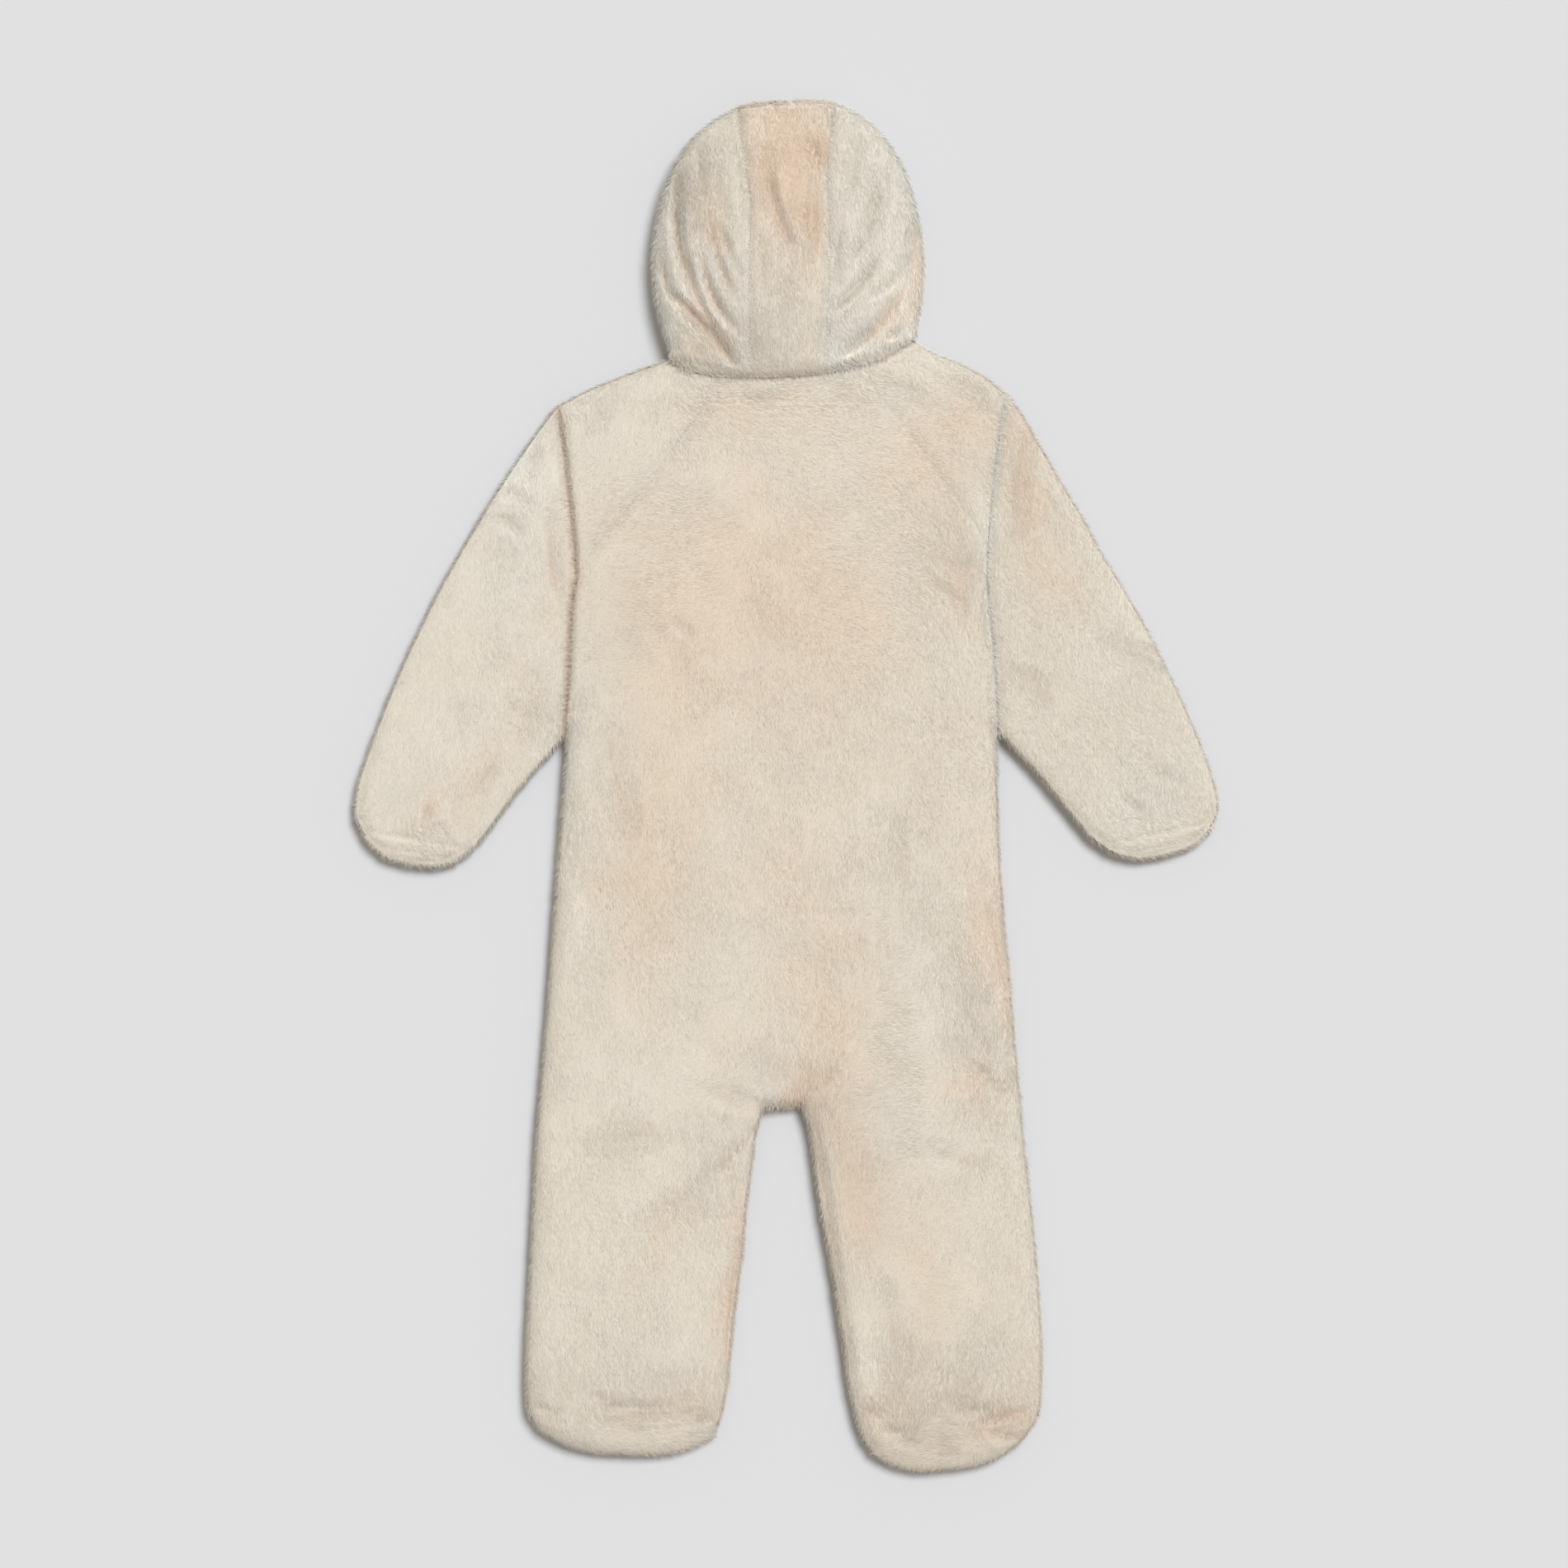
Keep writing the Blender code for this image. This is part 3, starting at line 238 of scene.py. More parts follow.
# A crease is a soft trough along a line from its start through a bend to its end. A negative depth is a ridge.
Crease = namedtuple("Crease", "on x0 y0 x1 y1 bend half_width depth")
CREASES = [
    # Left side of the hood, drawn down towards the neck
    Crease("hood", -73.5, 407.0, -61.5, 320.0, 5.0, 4.2, 4.6),
    Crease("hood", -67.0, 400.0, -54.0, 330.0, 4.0, 4.5, -1.6),
    Crease("hood", -79.0, 327.0, -35.0, 279.0, -3.0, 4.6, 6.0),
    Crease("hood", -80.0, 314.0, -52.0, 286.0, -2.0, 4.2, -1.8),
    Crease("hood", -43.5, 371.0, -27.0, 336.0, 3.0, 3.6, 2.6),
    Crease("hood", -49.0, 377.0, -33.5, 322.0, 4.5, 4.0, 3.4),
    Crease("hood", -56.0, 348.0, -30.5, 298.0, 5.0, 4.0, 4.2),
    Crease("hood", -66.0, 350.0, -41.0, 296.0, 5.0, 4.2, 3.0),
    Crease("hood", -58.0, 424.0, -52.0, 385.0, 2.0, 5.0, 1.8),
    Crease("hood", -84.0, 350.0, -78.0, 326.0, 1.0, 4.0, 2.2),
    Crease("hood", -47.0, 405.0, -38.0, 372.0, 2.0, 5.0, 1.6),
    # Centre strip
    Crease("hood", -15.0, 419.0, 6.0, 347.0, 4.0, 7.0, 2.8),
    Crease("hood", -7.0, 408.0, 9.0, 360.0, 4.0, 4.5, -1.4),
    Crease("hood", 12.5, 429.0, 21.0, 406.0, -2.0, 4.5, 2.4),
    Crease("hood", 20.0, 404.0, 19.0, 352.0, 2.0, 4.0, 1.8),
    Crease("hood", -17.0, 366.0, -14.0, 322.0, 1.5, 4.5, 1.6),
    Crease("hood", 2.0, 336.0, -4.0, 296.0, 2.0, 6.0, 1.2),
    # Right side
    Crease("hood", 61.5, 408.0, 45.0, 350.0, -4.0, 5.0, 3.2),
    Crease("hood", 60.0, 350.0, 31.0, 315.0, -3.0, 4.6, 3.4),
    Crease("hood", 78.0, 329.0, 34.0, 285.0, -5.0, 5.2, 4.0),
    Crease("hood", 80.0, 346.0, 52.0, 322.0, -3.0, 5.0, 2.2),
    Crease("hood", 68.0, 302.0, 73.0, 296.5, 0.0, 4.0, 3.4),
    Crease("hood", 46.0, 428.0, 40.0, 386.0, -2.0, 6.0, 1.4),
    Crease("hood", 86.0, 372.0, 82.0, 336.0, -2.0, 6.0, 1.6),
    Crease("hood", 36.0, 372.0, 33.0, 330.0, 1.5, 4.0, 1.6),
    # Neck and shoulders
    Crease("body", -29.0, 258.5, 17.0, 258.0, 1.0, 3.2, 1.3),
    Crease("body", 60.0, 268.0, 88.0, 262.0, 2.0, 5.0, 1.0),
    Crease("body", -112.0, 262.0, -128.0, 240.0, 2.0, 6.0, 1.4),
    Crease("body", 112.0, 268.0, 132.0, 254.0, -2.0, 5.0, 1.6),
    # Back
    Crease("body", 75.0, -24.0, 78.0, -98.0, 2.0, 6.0, 0.9),
    Crease("body", -74.0, 112.0, -62.0, 99.0, 1.0, 3.6, 1.2),
    Crease("body", 98.0, 136.0, 118.0, 122.0, 1.5, 4.0, 1.2),
    Crease("body", 108.0, 150.0, 134.0, 148.0, 2.0, 4.0, 0.9),
    Crease("body", 128.0, -60.0, 148.0, -168.0, -3.0, 8.0, 1.2),
    Crease("body", 118.0, -140.0, 134.0, -176.0, 4.0, 5.0, 0.8),
    Crease("body", 132.0, -196.0, 152.0, -190.0, 8.0, 3.4, 1.7),
    Crease("body", 124.0, -186.0, 132.0, -200.0, -3.0, 3.6, 1.2),
    Crease("body", -118.0, 38.0, -104.0, -24.0, 3.0, 9.0, 0.9),
    Crease("body", -140.0, -8.0, -150.0, -70.0, 1.0, 6.0, 1.1),
    # Crotch
    Crease("body", -17.0, -221.0, -58.0, -266.0, -3.0, 4.6, 2.2),
    Crease("body", -12.0, -212.0, -52.0, -200.0, -4.0, 6.0, 1.5),
    Crease("body", 12.0, -204.0, 36.0, -186.0, 3.0, 5.0, 1.6),
    Crease("body", -32.0, -196.0, -14.0, -206.0, 2.0, 4.5, -1.4),
    Crease("body", 16.0, -226.0, 31.0, -318.0, -2.0, 2.4, 2.2),
    Crease("body", 30.0, -318.0, 42.0, -396.0, -1.0, 2.4, 1.3),
    # Legs
    Crease("body", -31.0, -301.0, -40.0, -384.0, 2.0, 4.5, 1.8),
    Crease("body", -58.0, -266.0, -94.0, -286.0, -2.0, 7.0, 1.2),
    Crease("body", -84.0, -232.0, -128.0, -236.0, 2.0, 9.0, 0.9),
    Crease("body", 92.0, -238.0, 130.0, -252.0, 2.0, 8.0, 0.9),
    Crease("body", 66.0, -330.0, 80.0, -392.0, 3.0, 8.0, 0.9),
    # Feet, where the sole's seam pulls the cloth in
    Crease("body", -132.0, -405.0, -78.0, -414.5, 4.0, 4.2, 2.4),
    Crease("body", -66.0, -418.0, -47.0, -418.5, 2.0, 3.6, 2.0),
    Crease("body", -168.0, -411.0, -154.0, -417.5, 1.0, 3.6, 2.0),
    Crease("body", -120.0, -424.0, -104.0, -427.0, 1.0, 3.6, 1.2),
    Crease("body", 48.0, -414.0, 62.0, -414.5, 1.0, 3.4, 1.8),
    Crease("body", 64.0, -425.0, 87.0, -436.0, 2.0, 4.0, 2.4),
    Crease("body", 108.0, -411.0, 158.0, -417.0, 3.0, 4.2, 2.0),
    Crease("body", 135.0, -428.0, 159.0, -433.0, 2.0, 3.8, 2.6),
    Crease("body", 96.0, -443.0, 122.0, -444.0, 1.0, 3.6, 1.2),
    # Arms
    Crease("arm", -166.0, 224.0, -170.0, 200.0, 3.0, 4.0, 1.8),
    Crease("arm", -200.0, 177.0, -178.0, 168.0, -4.0, 3.6, 1.7),
    Crease("arm", -188.0, 196.0, -172.0, 188.0, -2.0, 3.4, 1.1),
    Crease("arm", -158.0, 180.0, -150.0, 120.0, 3.0, 6.0, 1.4),
    Crease("arm", -238.0, -9.0, -242.0, -26.0, 0.0, 2.6, 1.5),
    Crease("arm", -196.0, 12.0, -210.0, -10.0, 1.0, 5.0, 1.2),
    Crease("arm", -190.0, 62.0, -168.0, 46.0, 3.0, 6.0, 1.2),
    Crease("arm", 160.0, 236.0, 152.0, 172.0, 3.0, 7.0, 1.4),
    Crease("arm", 150.0, 78.0, 172.0, 58.0, -3.0, 6.0, 1.3),
    Crease("arm", 214.0, 96.0, 246.0, 84.0, 3.0, 8.0, 1.0),
    Crease("arm", 238.0, 16.0, 262.0, 4.0, 2.0, 5.0, 1.2),
    Crease("arm", 222.0, -6.0, 236.0, -22.0, -1.0, 4.0, 1.4),
]

CREASE_MORE = {"hood": 0.9, "body": 1.1, "arm": 1.2}

# The inside-leg seam on the right leg and the mitts' seams show as a narrow groove inside the outline
EDGE_GROOVE = 4.6
EDGE_GROOVE_WIDTH = 2.2
EDGE_GROOVE_DEPTH = 0.45

# Where the cloth is peach more than cream: a soft oval, turned by so many degrees
Patch = namedtuple("Patch", "x y half_wide half_long turn warm")
PATCHES = [
    Patch(-2.0, 424.0, 42.0, 34.0, 0.0, 1.0),
    Patch(-2.0, 392.0, 24.0, 40.0, 4.0, 0.5),
    Patch(72.0, 316.0, 20.0, 32.0, -30.0, 1.3),
    Patch(84.0, 352.0, 8.0, 30.0, 0.0, 1.0),
    Patch(50.0, 288.0, 26.0, 9.0, 4.0, 0.45),
    Patch(-46.0, 372.0, 10.0, 22.0, 10.0, 0.9),
    Patch(-62.0, 310.0, 26.0, 40.0, 0.0, 0.7),
    Patch(14.0, 372.0, 12.0, 30.0, 0.0, 0.6),
    Patch(-62.0, 290.0, 14.0, 8.0, -40.0, 0.6),
    Patch(-20.0, 252.0, 60.0, 16.0, 0.0, 0.5),
    Patch(92.0, 216.0, 42.0, 44.0, 35.0, 0.65),
    Patch(126.0, 240.0, 14.0, 20.0, 0.0, 0.7),
    Patch(162.0, 196.0, 18.0, 56.0, 8.0, 1.0),
    Patch(190.0, 132.0, 16.0, 34.0, 20.0, 0.5),
    Patch(-30.0, 150.0, 80.0, 60.0, 0.0, 0.75),
    Patch(-70.0, 60.0, 46.0, 60.0, 0.0, 0.55),
    Patch(40.0, 96.0, 44.0, 50.0, 0.0, 0.5),
    Patch(118.0, 128.0, 18.0, 26.0, 20.0, 0.7),
    Patch(-92.0, -62.0, 36.0, 74.0, 0.0, 0.7),
    Patch(6.0, -60.0, 40.0, 80.0, 0.0, 0.45),
    Patch(30.0, -160.0, 36.0, 60.0, 0.0, 0.65),
    Patch(140.0, -108.0, 16.0, 66.0, 5.0, 0.8),
    Patch(118.0, -196.0, 18.0, 14.0, 0.0, 0.8),
    Patch(14.0, -203.0, 18.0, 12.0, 0.0, 0.8),
    Patch(44.0, -250.0, 18.0, 60.0, 6.0, 0.6),
    Patch(92.0, -320.0, 16.0, 60.0, 0.0, 0.5),
    Patch(-38.0, -332.0, 10.0, 62.0, -4.0, 0.8),
    Patch(-84.0, -300.0, 12.0, 40.0, -20.0, 0.45),
    Patch(-86.0, -412.0, 34.0, 8.0, 6.0, 0.5),
    Patch(140.0, -424.0, 22.0, 14.0, 0.0, 0.8),
    Patch(64.0, -414.0, 14.0, 12.0, 0.0, 0.5),
    Patch(-238.0, -18.0, 8.0, 14.0, 0.0, 0.8),
    Patch(-202.0, 6.0, 16.0, 34.0, -35.0, 0.55),
    Patch(-172.0, 214.0, 14.0, 24.0, 20.0, -0.5),
    Patch(-152.0, 130.0, 8.0, 60.0, 2.0, 0.35),
    Patch(-176.0, 66.0, 14.0, 34.0, 10.0, 0.45),
    Patch(220.0, 30.0, 22.0, 40.0, 30.0, 0.15),
    Patch(-200.0, 130.0, 30.0, 70.0, 27.0, -0.4),
    Patch(-222.0, 20.0, 26.0, 50.0, 30.0, -0.25),
    Patch(-120.0, 244.0, 34.0, 26.0, 30.0, -0.2),
    Patch(214.0, 90.0, 26.0, 60.0, -27.0, -0.1),
    Patch(246.0, -4.0, 26.0, 44.0, -30.0, -0.15),
    Patch(-110.0, -260.0, 40.0, 80.0, 0.0, -0.12),
    Patch(96.0, -110.0, 20.0, 60.0, 0.0, -0.12),
    Patch(100.0, -260.0, 30.0, 60.0, 0.0, -0.1),
]

# Some pieces are a little warmer or paler all over
WARMER = {
    "hood_centre": 0.06,
    "hood_side_left": -0.12,
    "hood_side_right": -0.34,
    "sleeve_left": -0.05,
    "sleeve_right": -0.05,
}

# Painted shade, where the cloth is made darker for the shadow on it, and painted light where a negative value makes it
# paler, and by how much
Dim = namedtuple("Dim", "x y half_wide half_long turn much")
PAINTED_SHADE_LIGHT = [
    Dim(0.0, 350.0, 100.0, 110.0, 0.0, -0.05),
    Dim(-60.0, 385.0, 18.0, 42.0, 10.0, 0.12),
    Dim(-60.0, 326.0, 22.0, 34.0, 10.0, -0.16),
    Dim(0.0, 396.0, 24.0, 50.0, 0.0, 0.06),
    Dim(6.0, 378.0, 14.0, 26.0, 0.0, 0.09),
    Dim(48.0, -274.0, 20.0, 60.0, 0.0, 0.07),
    Dim(-104.0, 84.0, 26.0, 60.0, 0.0, 0.05),
    Dim(-90.0, -60.0, 30.0, 60.0, 0.0, 0.05),
    Dim(-100.0, -420.0, 80.0, 32.0, 0.0, 0.06),
    Dim(100.0, -424.0, 70.0, 40.0, 0.0, 0.1),
    Dim(90.0, -320.0, 70.0, 70.0, 0.0, 0.03),
    Dim(8.0, -214.0, 30.0, 16.0, 0.0, 0.05),
    Dim(72.0, 316.0, 28.0, 34.0, 0.0, -0.2),
    Dim(-174.0, 206.0, 22.0, 34.0, 20.0, -0.11),
    Dim(236.0, -6.0, 34.0, 34.0, 0.0, -0.08),
    Dim(138.0, -104.0, 16.0, 50.0, 5.0, -0.06),
    Dim(206.0, 104.0, 30.0, 60.0, -27.0, -0.04),
    Dim(0.0, 84.0, 60.0, 60.0, 0.0, 0.03),
    Dim(50.0, 288.0, 28.0, 9.0, 4.0, -0.24),
    Dim(-57.0, 303.0, 14.0, 6.0, -47.0, 0.2),
    Dim(-40.0, 330.0, 8.0, 16.0, 0.0, 0.1),
    Dim(-57.0, 376.0, 9.0, 16.0, 0.0, 0.08),
    Dim(-76.0, 303.0, 9.0, 12.0, 0.0, -0.16),
    Dim(-57.0, 278.0, 12.0, 11.0, 0.0, -0.15),
    Dim(84.0, 356.0, 8.0, 14.0, 0.0, -0.13),
    Dim(-8.0, 373.0, 7.0, 8.0, 0.0, -0.1),
    Dim(-5.0, -207.0, 14.0, 8.0, 0.0, -0.12),
    Dim(46.0, -390.0, 10.0, 22.0, 0.0, -0.12),
    Dim(66.0, -418.0, 12.0, 8.0, 0.0, -0.1),
    Dim(-146.0, -66.0, 8.0, 34.0, 0.0, -0.12),
    Dim(136.0, 180.0, 8.0, 14.0, 0.0, -0.1),
    Dim(-181.0, 57.0, 9.0, 11.0, 0.0, -0.1),
    Dim(-234.0, -26.0, 10.0, 14.0, 0.0, -0.08),
    Dim(30.0, -188.0, 12.0, 10.0, 0.0, -0.08),
    Dim(52.0, -350.0, 12.0, 26.0, 0.0, -0.06),
]

# Where the pile stands up coarser, as it does in folds, on the hood and on the hands and feet; there it is also painted
# paler, painted light against the shadows its strands cast
Rough = namedtuple("Rough", "x y half_wide half_long turn much")
ROUGH = [
    Rough(-66.0, 372.0, 22.0, 60.0, 8.0, 0.75),
    Rough(-48.0, 300.0, 36.0, 24.0, -20.0, 0.8),
    Rough(66.0, 350.0, 26.0, 60.0, -8.0, 0.2),
    Rough(56.0, 300.0, 34.0, 18.0, 30.0, 0.6),
    Rough(0.0, 330.0, 20.0, 40.0, 0.0, 0.4),
    Rough(-20.0, 262.0, 60.0, 8.0, 0.0, 0.6),
    Rough(78.0, -110.0, 46.0, 60.0, 10.0, 0.3),
    Rough(130.0, -150.0, 16.0, 60.0, 4.0, 0.6),
    Rough(60.0, -230.0, 50.0, 40.0, 0.0, 0.45),
    Rough(8.0, -200.0, 34.0, 22.0, 0.0, 0.8),
    Rough(-40.0, -250.0, 24.0, 40.0, -30.0, 0.5),
    Rough(-100.0, -400.0, 70.0, 40.0, 0.0, 0.45),
    Rough(100.0, -410.0, 60.0, 50.0, 0.0, 0.5),
    Rough(-240.0, -20.0, 40.0, 40.0, -35.0, 0.4),
    Rough(240.0, -10.0, 40.0, 46.0, 35.0, 0.35),
    Rough(-178.0, 180.0, 26.0, 50.0, 25.0, 0.4),
    Rough(-146.0, 10.0, 10.0, 90.0, 0.0, 0.5),
    Rough(-166.0, 60.0, 18.0, 60.0, 10.0, 0.35),
    Rough(110.0, 160.0, 30.0, 26.0, 0.0, 0.4),
    Rough(-66.0, 104.0, 14.0, 14.0, 0.0, 0.4),
]


# Which way the pile lies, in degrees from straight down towards the right, where it isn't along the piece
Lie = namedtuple("Lie", "x y half_wide half_long turn degrees")
LIES = [
    Lie(0.0, 247.0, 112.0, 27.0, 0.0, 85.0),
    Lie(-104.0, 150.0, 34.0, 100.0, 0.0, -76.0),
    Lie(-50.0, 168.0, 34.0, 52.0, 0.0, -72.0),
    Lie(52.0, 160.0, 36.0, 78.0, 0.0, 86.0),
    Lie(104.0, 168.0, 24.0, 62.0, 0.0, 36.0),
    Lie(110.0, 20.0, 28.0, 84.0, 0.0, 26.0),
    Lie(74.0, -190.0, 26.0, 112.0, 0.0, -66.0),
    Lie(106.0, -300.0, 24.0, 92.0, 0.0, -42.0),
    Lie(-50.0, -204.0, 34.0, 50.0, 0.0, -44.0),
    Lie(-46.0, 300.0, 28.0, 30.0, 0.0, 40.0),
    Lie(0.0, 360.0, 26.0, 60.0, 0.0, 16.0),
    Lie(56.0, 352.0, 30.0, 60.0, 0.0, 22.0),
    Lie(-56.0, 360.0, 26.0, 50.0, 0.0, 10.0),
    Lie(-100.0, -432.0, 70.0, 17.0, 0.0, 80.0),
    Lie(104.0, -436.0, 60.0, 18.0, 0.0, -84.0),
    Lie(-238.0, -40.0, 30.0, 16.0, -20.0, 50.0),
    Lie(240.0, -32.0, 34.0, 18.0, 20.0, 74.0),
    Lie(-176.0, 70.0, 50.0, 120.0, 0.0, -13.0),
    Lie(-160.0, 190.0, 30.0, 50.0, 0.0, -18.0),
]


# ---------------------------------------------------------------- curves and sections


def columns(rows, *names):
    return np.array([[getattr(row, name) for name in names] for row in rows], float)


def spline(points, at):
    """Points on a smooth curve through the given ones, at row numbers such as 2.5."""
    points = np.asarray(points, float)
    at = np.asarray(at, float)
    count = len(points)
    chord = np.maximum(np.linalg.norm(np.diff(points, axis=0), axis=1), 1e-9)
    slope = np.zeros_like(points)
    for i in range(count):
        before = points[i] - points[i - 1] if i else points[1] - points[0]
        after = points[i + 1] - points[i] if i < count - 1 else before
        a = chord[max(i - 1, 0)] if i else chord[0]
        b = chord[min(i, count - 2)]
        slope[i] = (before / a * b + after / b * a) / (a + b)
    i = np.clip(np.floor(at).astype(int), 0, count - 2)
    t = (at - i)[:, None]
    length = chord[i][:, None]
    p0, p1 = points[i], points[i + 1]
    m0, m1 = slope[i] * length, slope[i + 1] * length
    return (
        (2 * t**3 - 3 * t**2 + 1) * p0
        + (t**3 - 2 * t**2 + t) * m0
        + (3 * t**2 - 2 * t**3) * p1
        + (t**3 - t**2) * m1
    )


def across(start, end, bow, shares, power=2.8):
    """Rows of points from start to end, each bowed out to the right of its own direction."""
    start, end = np.asarray(start, float), np.asarray(end, float)
    shares = np.asarray(shares, float)
    line = end - start
    side = np.stack([line[:, 1], -line[:, 0]], 1)
    side /= np.maximum(np.linalg.norm(side, axis=1), 1e-9)[:, None]
    swell = 1 - np.abs(2 * shares - 1) ** power
    return (
        start[:, None]
        + line[:, None] * shares[None, :, None]
        + (side * np.asarray(bow, float)[:, None])[:, None] * swell[None, :, None]
    )


def shares_of(width, near_start, near_end, step):
    """Shares across a width, closer together near each edge, and this far apart between."""
    left = [d / width for d in near_start]
    right = [1 - d / width for d in reversed(near_end)]
    count = max(2, round((right[0] - left[-1]) * width / step))
    return np.array([*left, *np.linspace(left[-1], right[0], count + 1)[1:-1], *right])


def outwards(line, sign):
    """Unit directions at right angles to a line of points."""
    along = np.gradient(line, axis=0)
    along /= np.maximum(np.linalg.norm(along, axis=1), 1e-9)[:, None]
    return np.stack([along[:, 1], -along[:, 0]], 1) * sign


def distance(points, line):
    """Least distance from each point to a line of points."""
    points = np.asarray(points, float)
    flat = points.reshape(-1, 2)
    least = np.full(len(flat), 1e9)
    for a, b in zip(line[:-1], line[1:]):
        ab = b - a
        size = ab @ ab
        if size < 1e-12:
            continue
        t = np.clip((flat - a) @ ab / size, 0, 1)
        least = np.minimum(least, np.linalg.norm(flat - a - t[:, None] * ab, axis=1))
    return least.reshape(points.shape[:-1])


def near(points, line, reach):
    """Least distance from flat points to a line, or reach where that is less."""
    found = np.full(len(points), float(reach))
    low, high = line.min(0) - reach, line.max(0) + reach
    close = np.flatnonzero(((points > low) & (points < high)).all(1))
    if len(close):
        found[close] = np.minimum(distance(points[close], line), reach)
    return found


def beside(points, lines):
    """Least distance from flat points to any of these lines, and that line's direction there."""
    least, way = np.full(len(points), 1e9), np.zeros_like(points)
    for line in lines:
        for a, b in zip(line[:-1], line[1:]):
            ab = b - a
            size = ab @ ab
            if size < 1e-12:
                continue
            t = np.clip((points - a) @ ab / size, 0, 1)
            d = np.linalg.norm(points - a - t[:, None] * ab, axis=1)
            nearer = d < least
            least[nearer], way[nearer] = d[nearer], ab / math.sqrt(size)
    return least, way


def rolled(d, width):
    """0 at an edge, rising as a quarter of an ellipse to 1."""
    t = np.clip(d / width, 0, 1)
    return np.sqrt(np.maximum(1 - (1 - t) ** 2, 0))


def eased(d, width):
    """0 at an edge, rising softly to 1."""
    t = np.clip(d / width, 0, 1)
    return t * (2 - t) * 0.65 + 0.35 * t * t * (3 - 2 * t)


def noise(points, size, seed):
    """Smooth values from -1 to 1 over flat points, with their bumps this far apart."""
    table = np.random.default_rng(seed).uniform(-1, 1, (97, 97))
    p = np.asarray(points, float) / size + 500.0
    i = np.floor(p).astype(int)
    f = p - i
    f = f * f * (3 - 2 * f)
    x, y = i[..., 0] % 97, i[..., 1] % 97
    x1, y1 = (x + 1) % 97, (y + 1) % 97
    low = table[x, y] * (1 - f[..., 0]) + table[x1, y] * f[..., 0]
    high = table[x, y1] * (1 - f[..., 0]) + table[x1, y1] * f[..., 0]
    return low * (1 - f[..., 1]) + high * f[..., 1]


def stations(lengths, step):
    """Row numbers that divide a table's rows into steps of about this length."""
    found = [0.0]
    for i, length in enumerate(lengths):
        count = max(1, math.ceil(length / step))
        found += [i + (k + 1) / count for k in range(count)]
    return np.array(found)


# ---------------------------------------------------------------- outlines

torso_rows = columns(TORSO, "y", "left", "right")
side_left = torso_rows[:, [1, 0]]
side_right = torso_rows[:, [2, 0]]
neck_points = np.array(
    [
        [-77.5, 285.5],
        [-75.6, 280.6],
        [-55.0, 273.4],
        [-22.0, 271.2],
        [0.0, 271.8],
        [24.0, 273.9],
        [62.0, 283.3],
        [86.5, 297.0],
    ]
)


def neck(x):
    """The neck seam at these values of x."""
    line = spline(neck_points, np.linspace(0, 7, 141))
    return np.interp(x, line[:, 0], line[:, 1])


torso_at = stations(-np.diff(torso_rows[:, 0]), 4.0)
torso_left, torso_right = spline(side_left, torso_at), spline(side_right, torso_at)
fold_index = int(np.searchsorted(torso_at, FOLD_ROW - 1e-6))

leg_at = np.concatenate(
    [stations([15, 25, 29, 32, 32, 32, 24], 4.0), [7.25, 7.5, 7.75, 8.0, 8.2, 8.4, 8.55, 8.7, 8.8, 8.88, 8.94, 9.0]]
)


def leg_edges(rows):
    found = spline(columns(rows, "outer_x", "outer_y", "inner_x", "inner_y", "bow"), leg_at)
    return found[:, 0:2], found[:, 2:4], found[:, 4]


LEGS = {"left": leg_edges(LEG_LEFT), "right": leg_edges(LEG_RIGHT)}


def sleeve_edges(caps, arms, side_rows):
    """Start, end and bow of each fine row of a sleeve, and its row numbers."""
    outer = np.array([(row.outer_x, row.outer_y) for row in (*caps, *arms)], float)
    inner = np.array([*side_rows[: FREE_ROW + 1], *[(r.inner_x, r.inner_y) for r in arms]], float)
    bow = np.array([[row.bow] for row in (*caps, *arms)], float)
    steps = np.maximum(
        np.linalg.norm(np.diff(outer, axis=0), axis=1), np.linalg.norm(np.diff(inner, axis=0), axis=1)
    )
    steps[FOLD_ROW - 1 : FOLD_ROW + 1] *= 2.2
    steps[-2:] *= 2.6
    at = stations(steps, 4.0)
    start = spline(inner, at)
    held = at <= FREE_ROW
    start[held] = spline(side_rows, at[held])
    return start, spline(outer, at), spline(bow, at)[:, 0], at


SLEEVES = {
    "left": sleeve_edges(CAP_LEFT, ARM_LEFT, side_left),
    "right": sleeve_edges(CAP_RIGHT, ARM_RIGHT, side_right),
}
fine = np.linspace(0, 1, 41)


def foot_end(side):
    start, end, bow = (part[-1:] for part in LEGS[side])
    return across(start, end, bow if side == "left" else -bow, fine)[0]


def mitt_end(side):
    start, end, bow = (part[-1:] for part in SLEEVES[side][:3])
    return across(start, end, bow, fine)[0]


def row_of(side, number):
    at = SLEEVES[side][3]
    return int(np.searchsorted(at, number - 1e-6))


free_edges = [
    torso_left[fold_index:],
    LEGS["left"][0],
    foot_end("left"),
    LEGS["left"][1],
    np.array([LEGS["left"][1][0], LEGS["right"][1][0]]),
    LEGS["right"][1],
    foot_end("right"),
    LEGS["right"][0],
    torso_right[fold_index:],
]
free_index = int(np.searchsorted(torso_at, FREE_ROW - 1e-6))
held_lines = [torso_left[fold_index : free_index + 1], torso_right[fold_index : free_index + 1]]
back_edges = [torso_left[free_index:], *free_edges[1:-1], torso_right[free_index:]]
shoulders = [SLEEVES[side][1][: row_of(side, FOLD_ROW) + 1] for side in SLEEVES]
tucks = [
    across(
        *(part[row_of(side, FOLD_ROW) : row_of(side, FOLD_ROW) + 1] for part in SLEEVES[side][:3]), fine
    )[0]
    for side in SLEEVES
]
neck_line = np.stack([np.linspace(-77.5, 86.5, 60), neck(np.linspace(-77.5, 86.5, 60))], 1)
raglans = [torso_left[: fold_index + 1], torso_right[: fold_index + 1]]
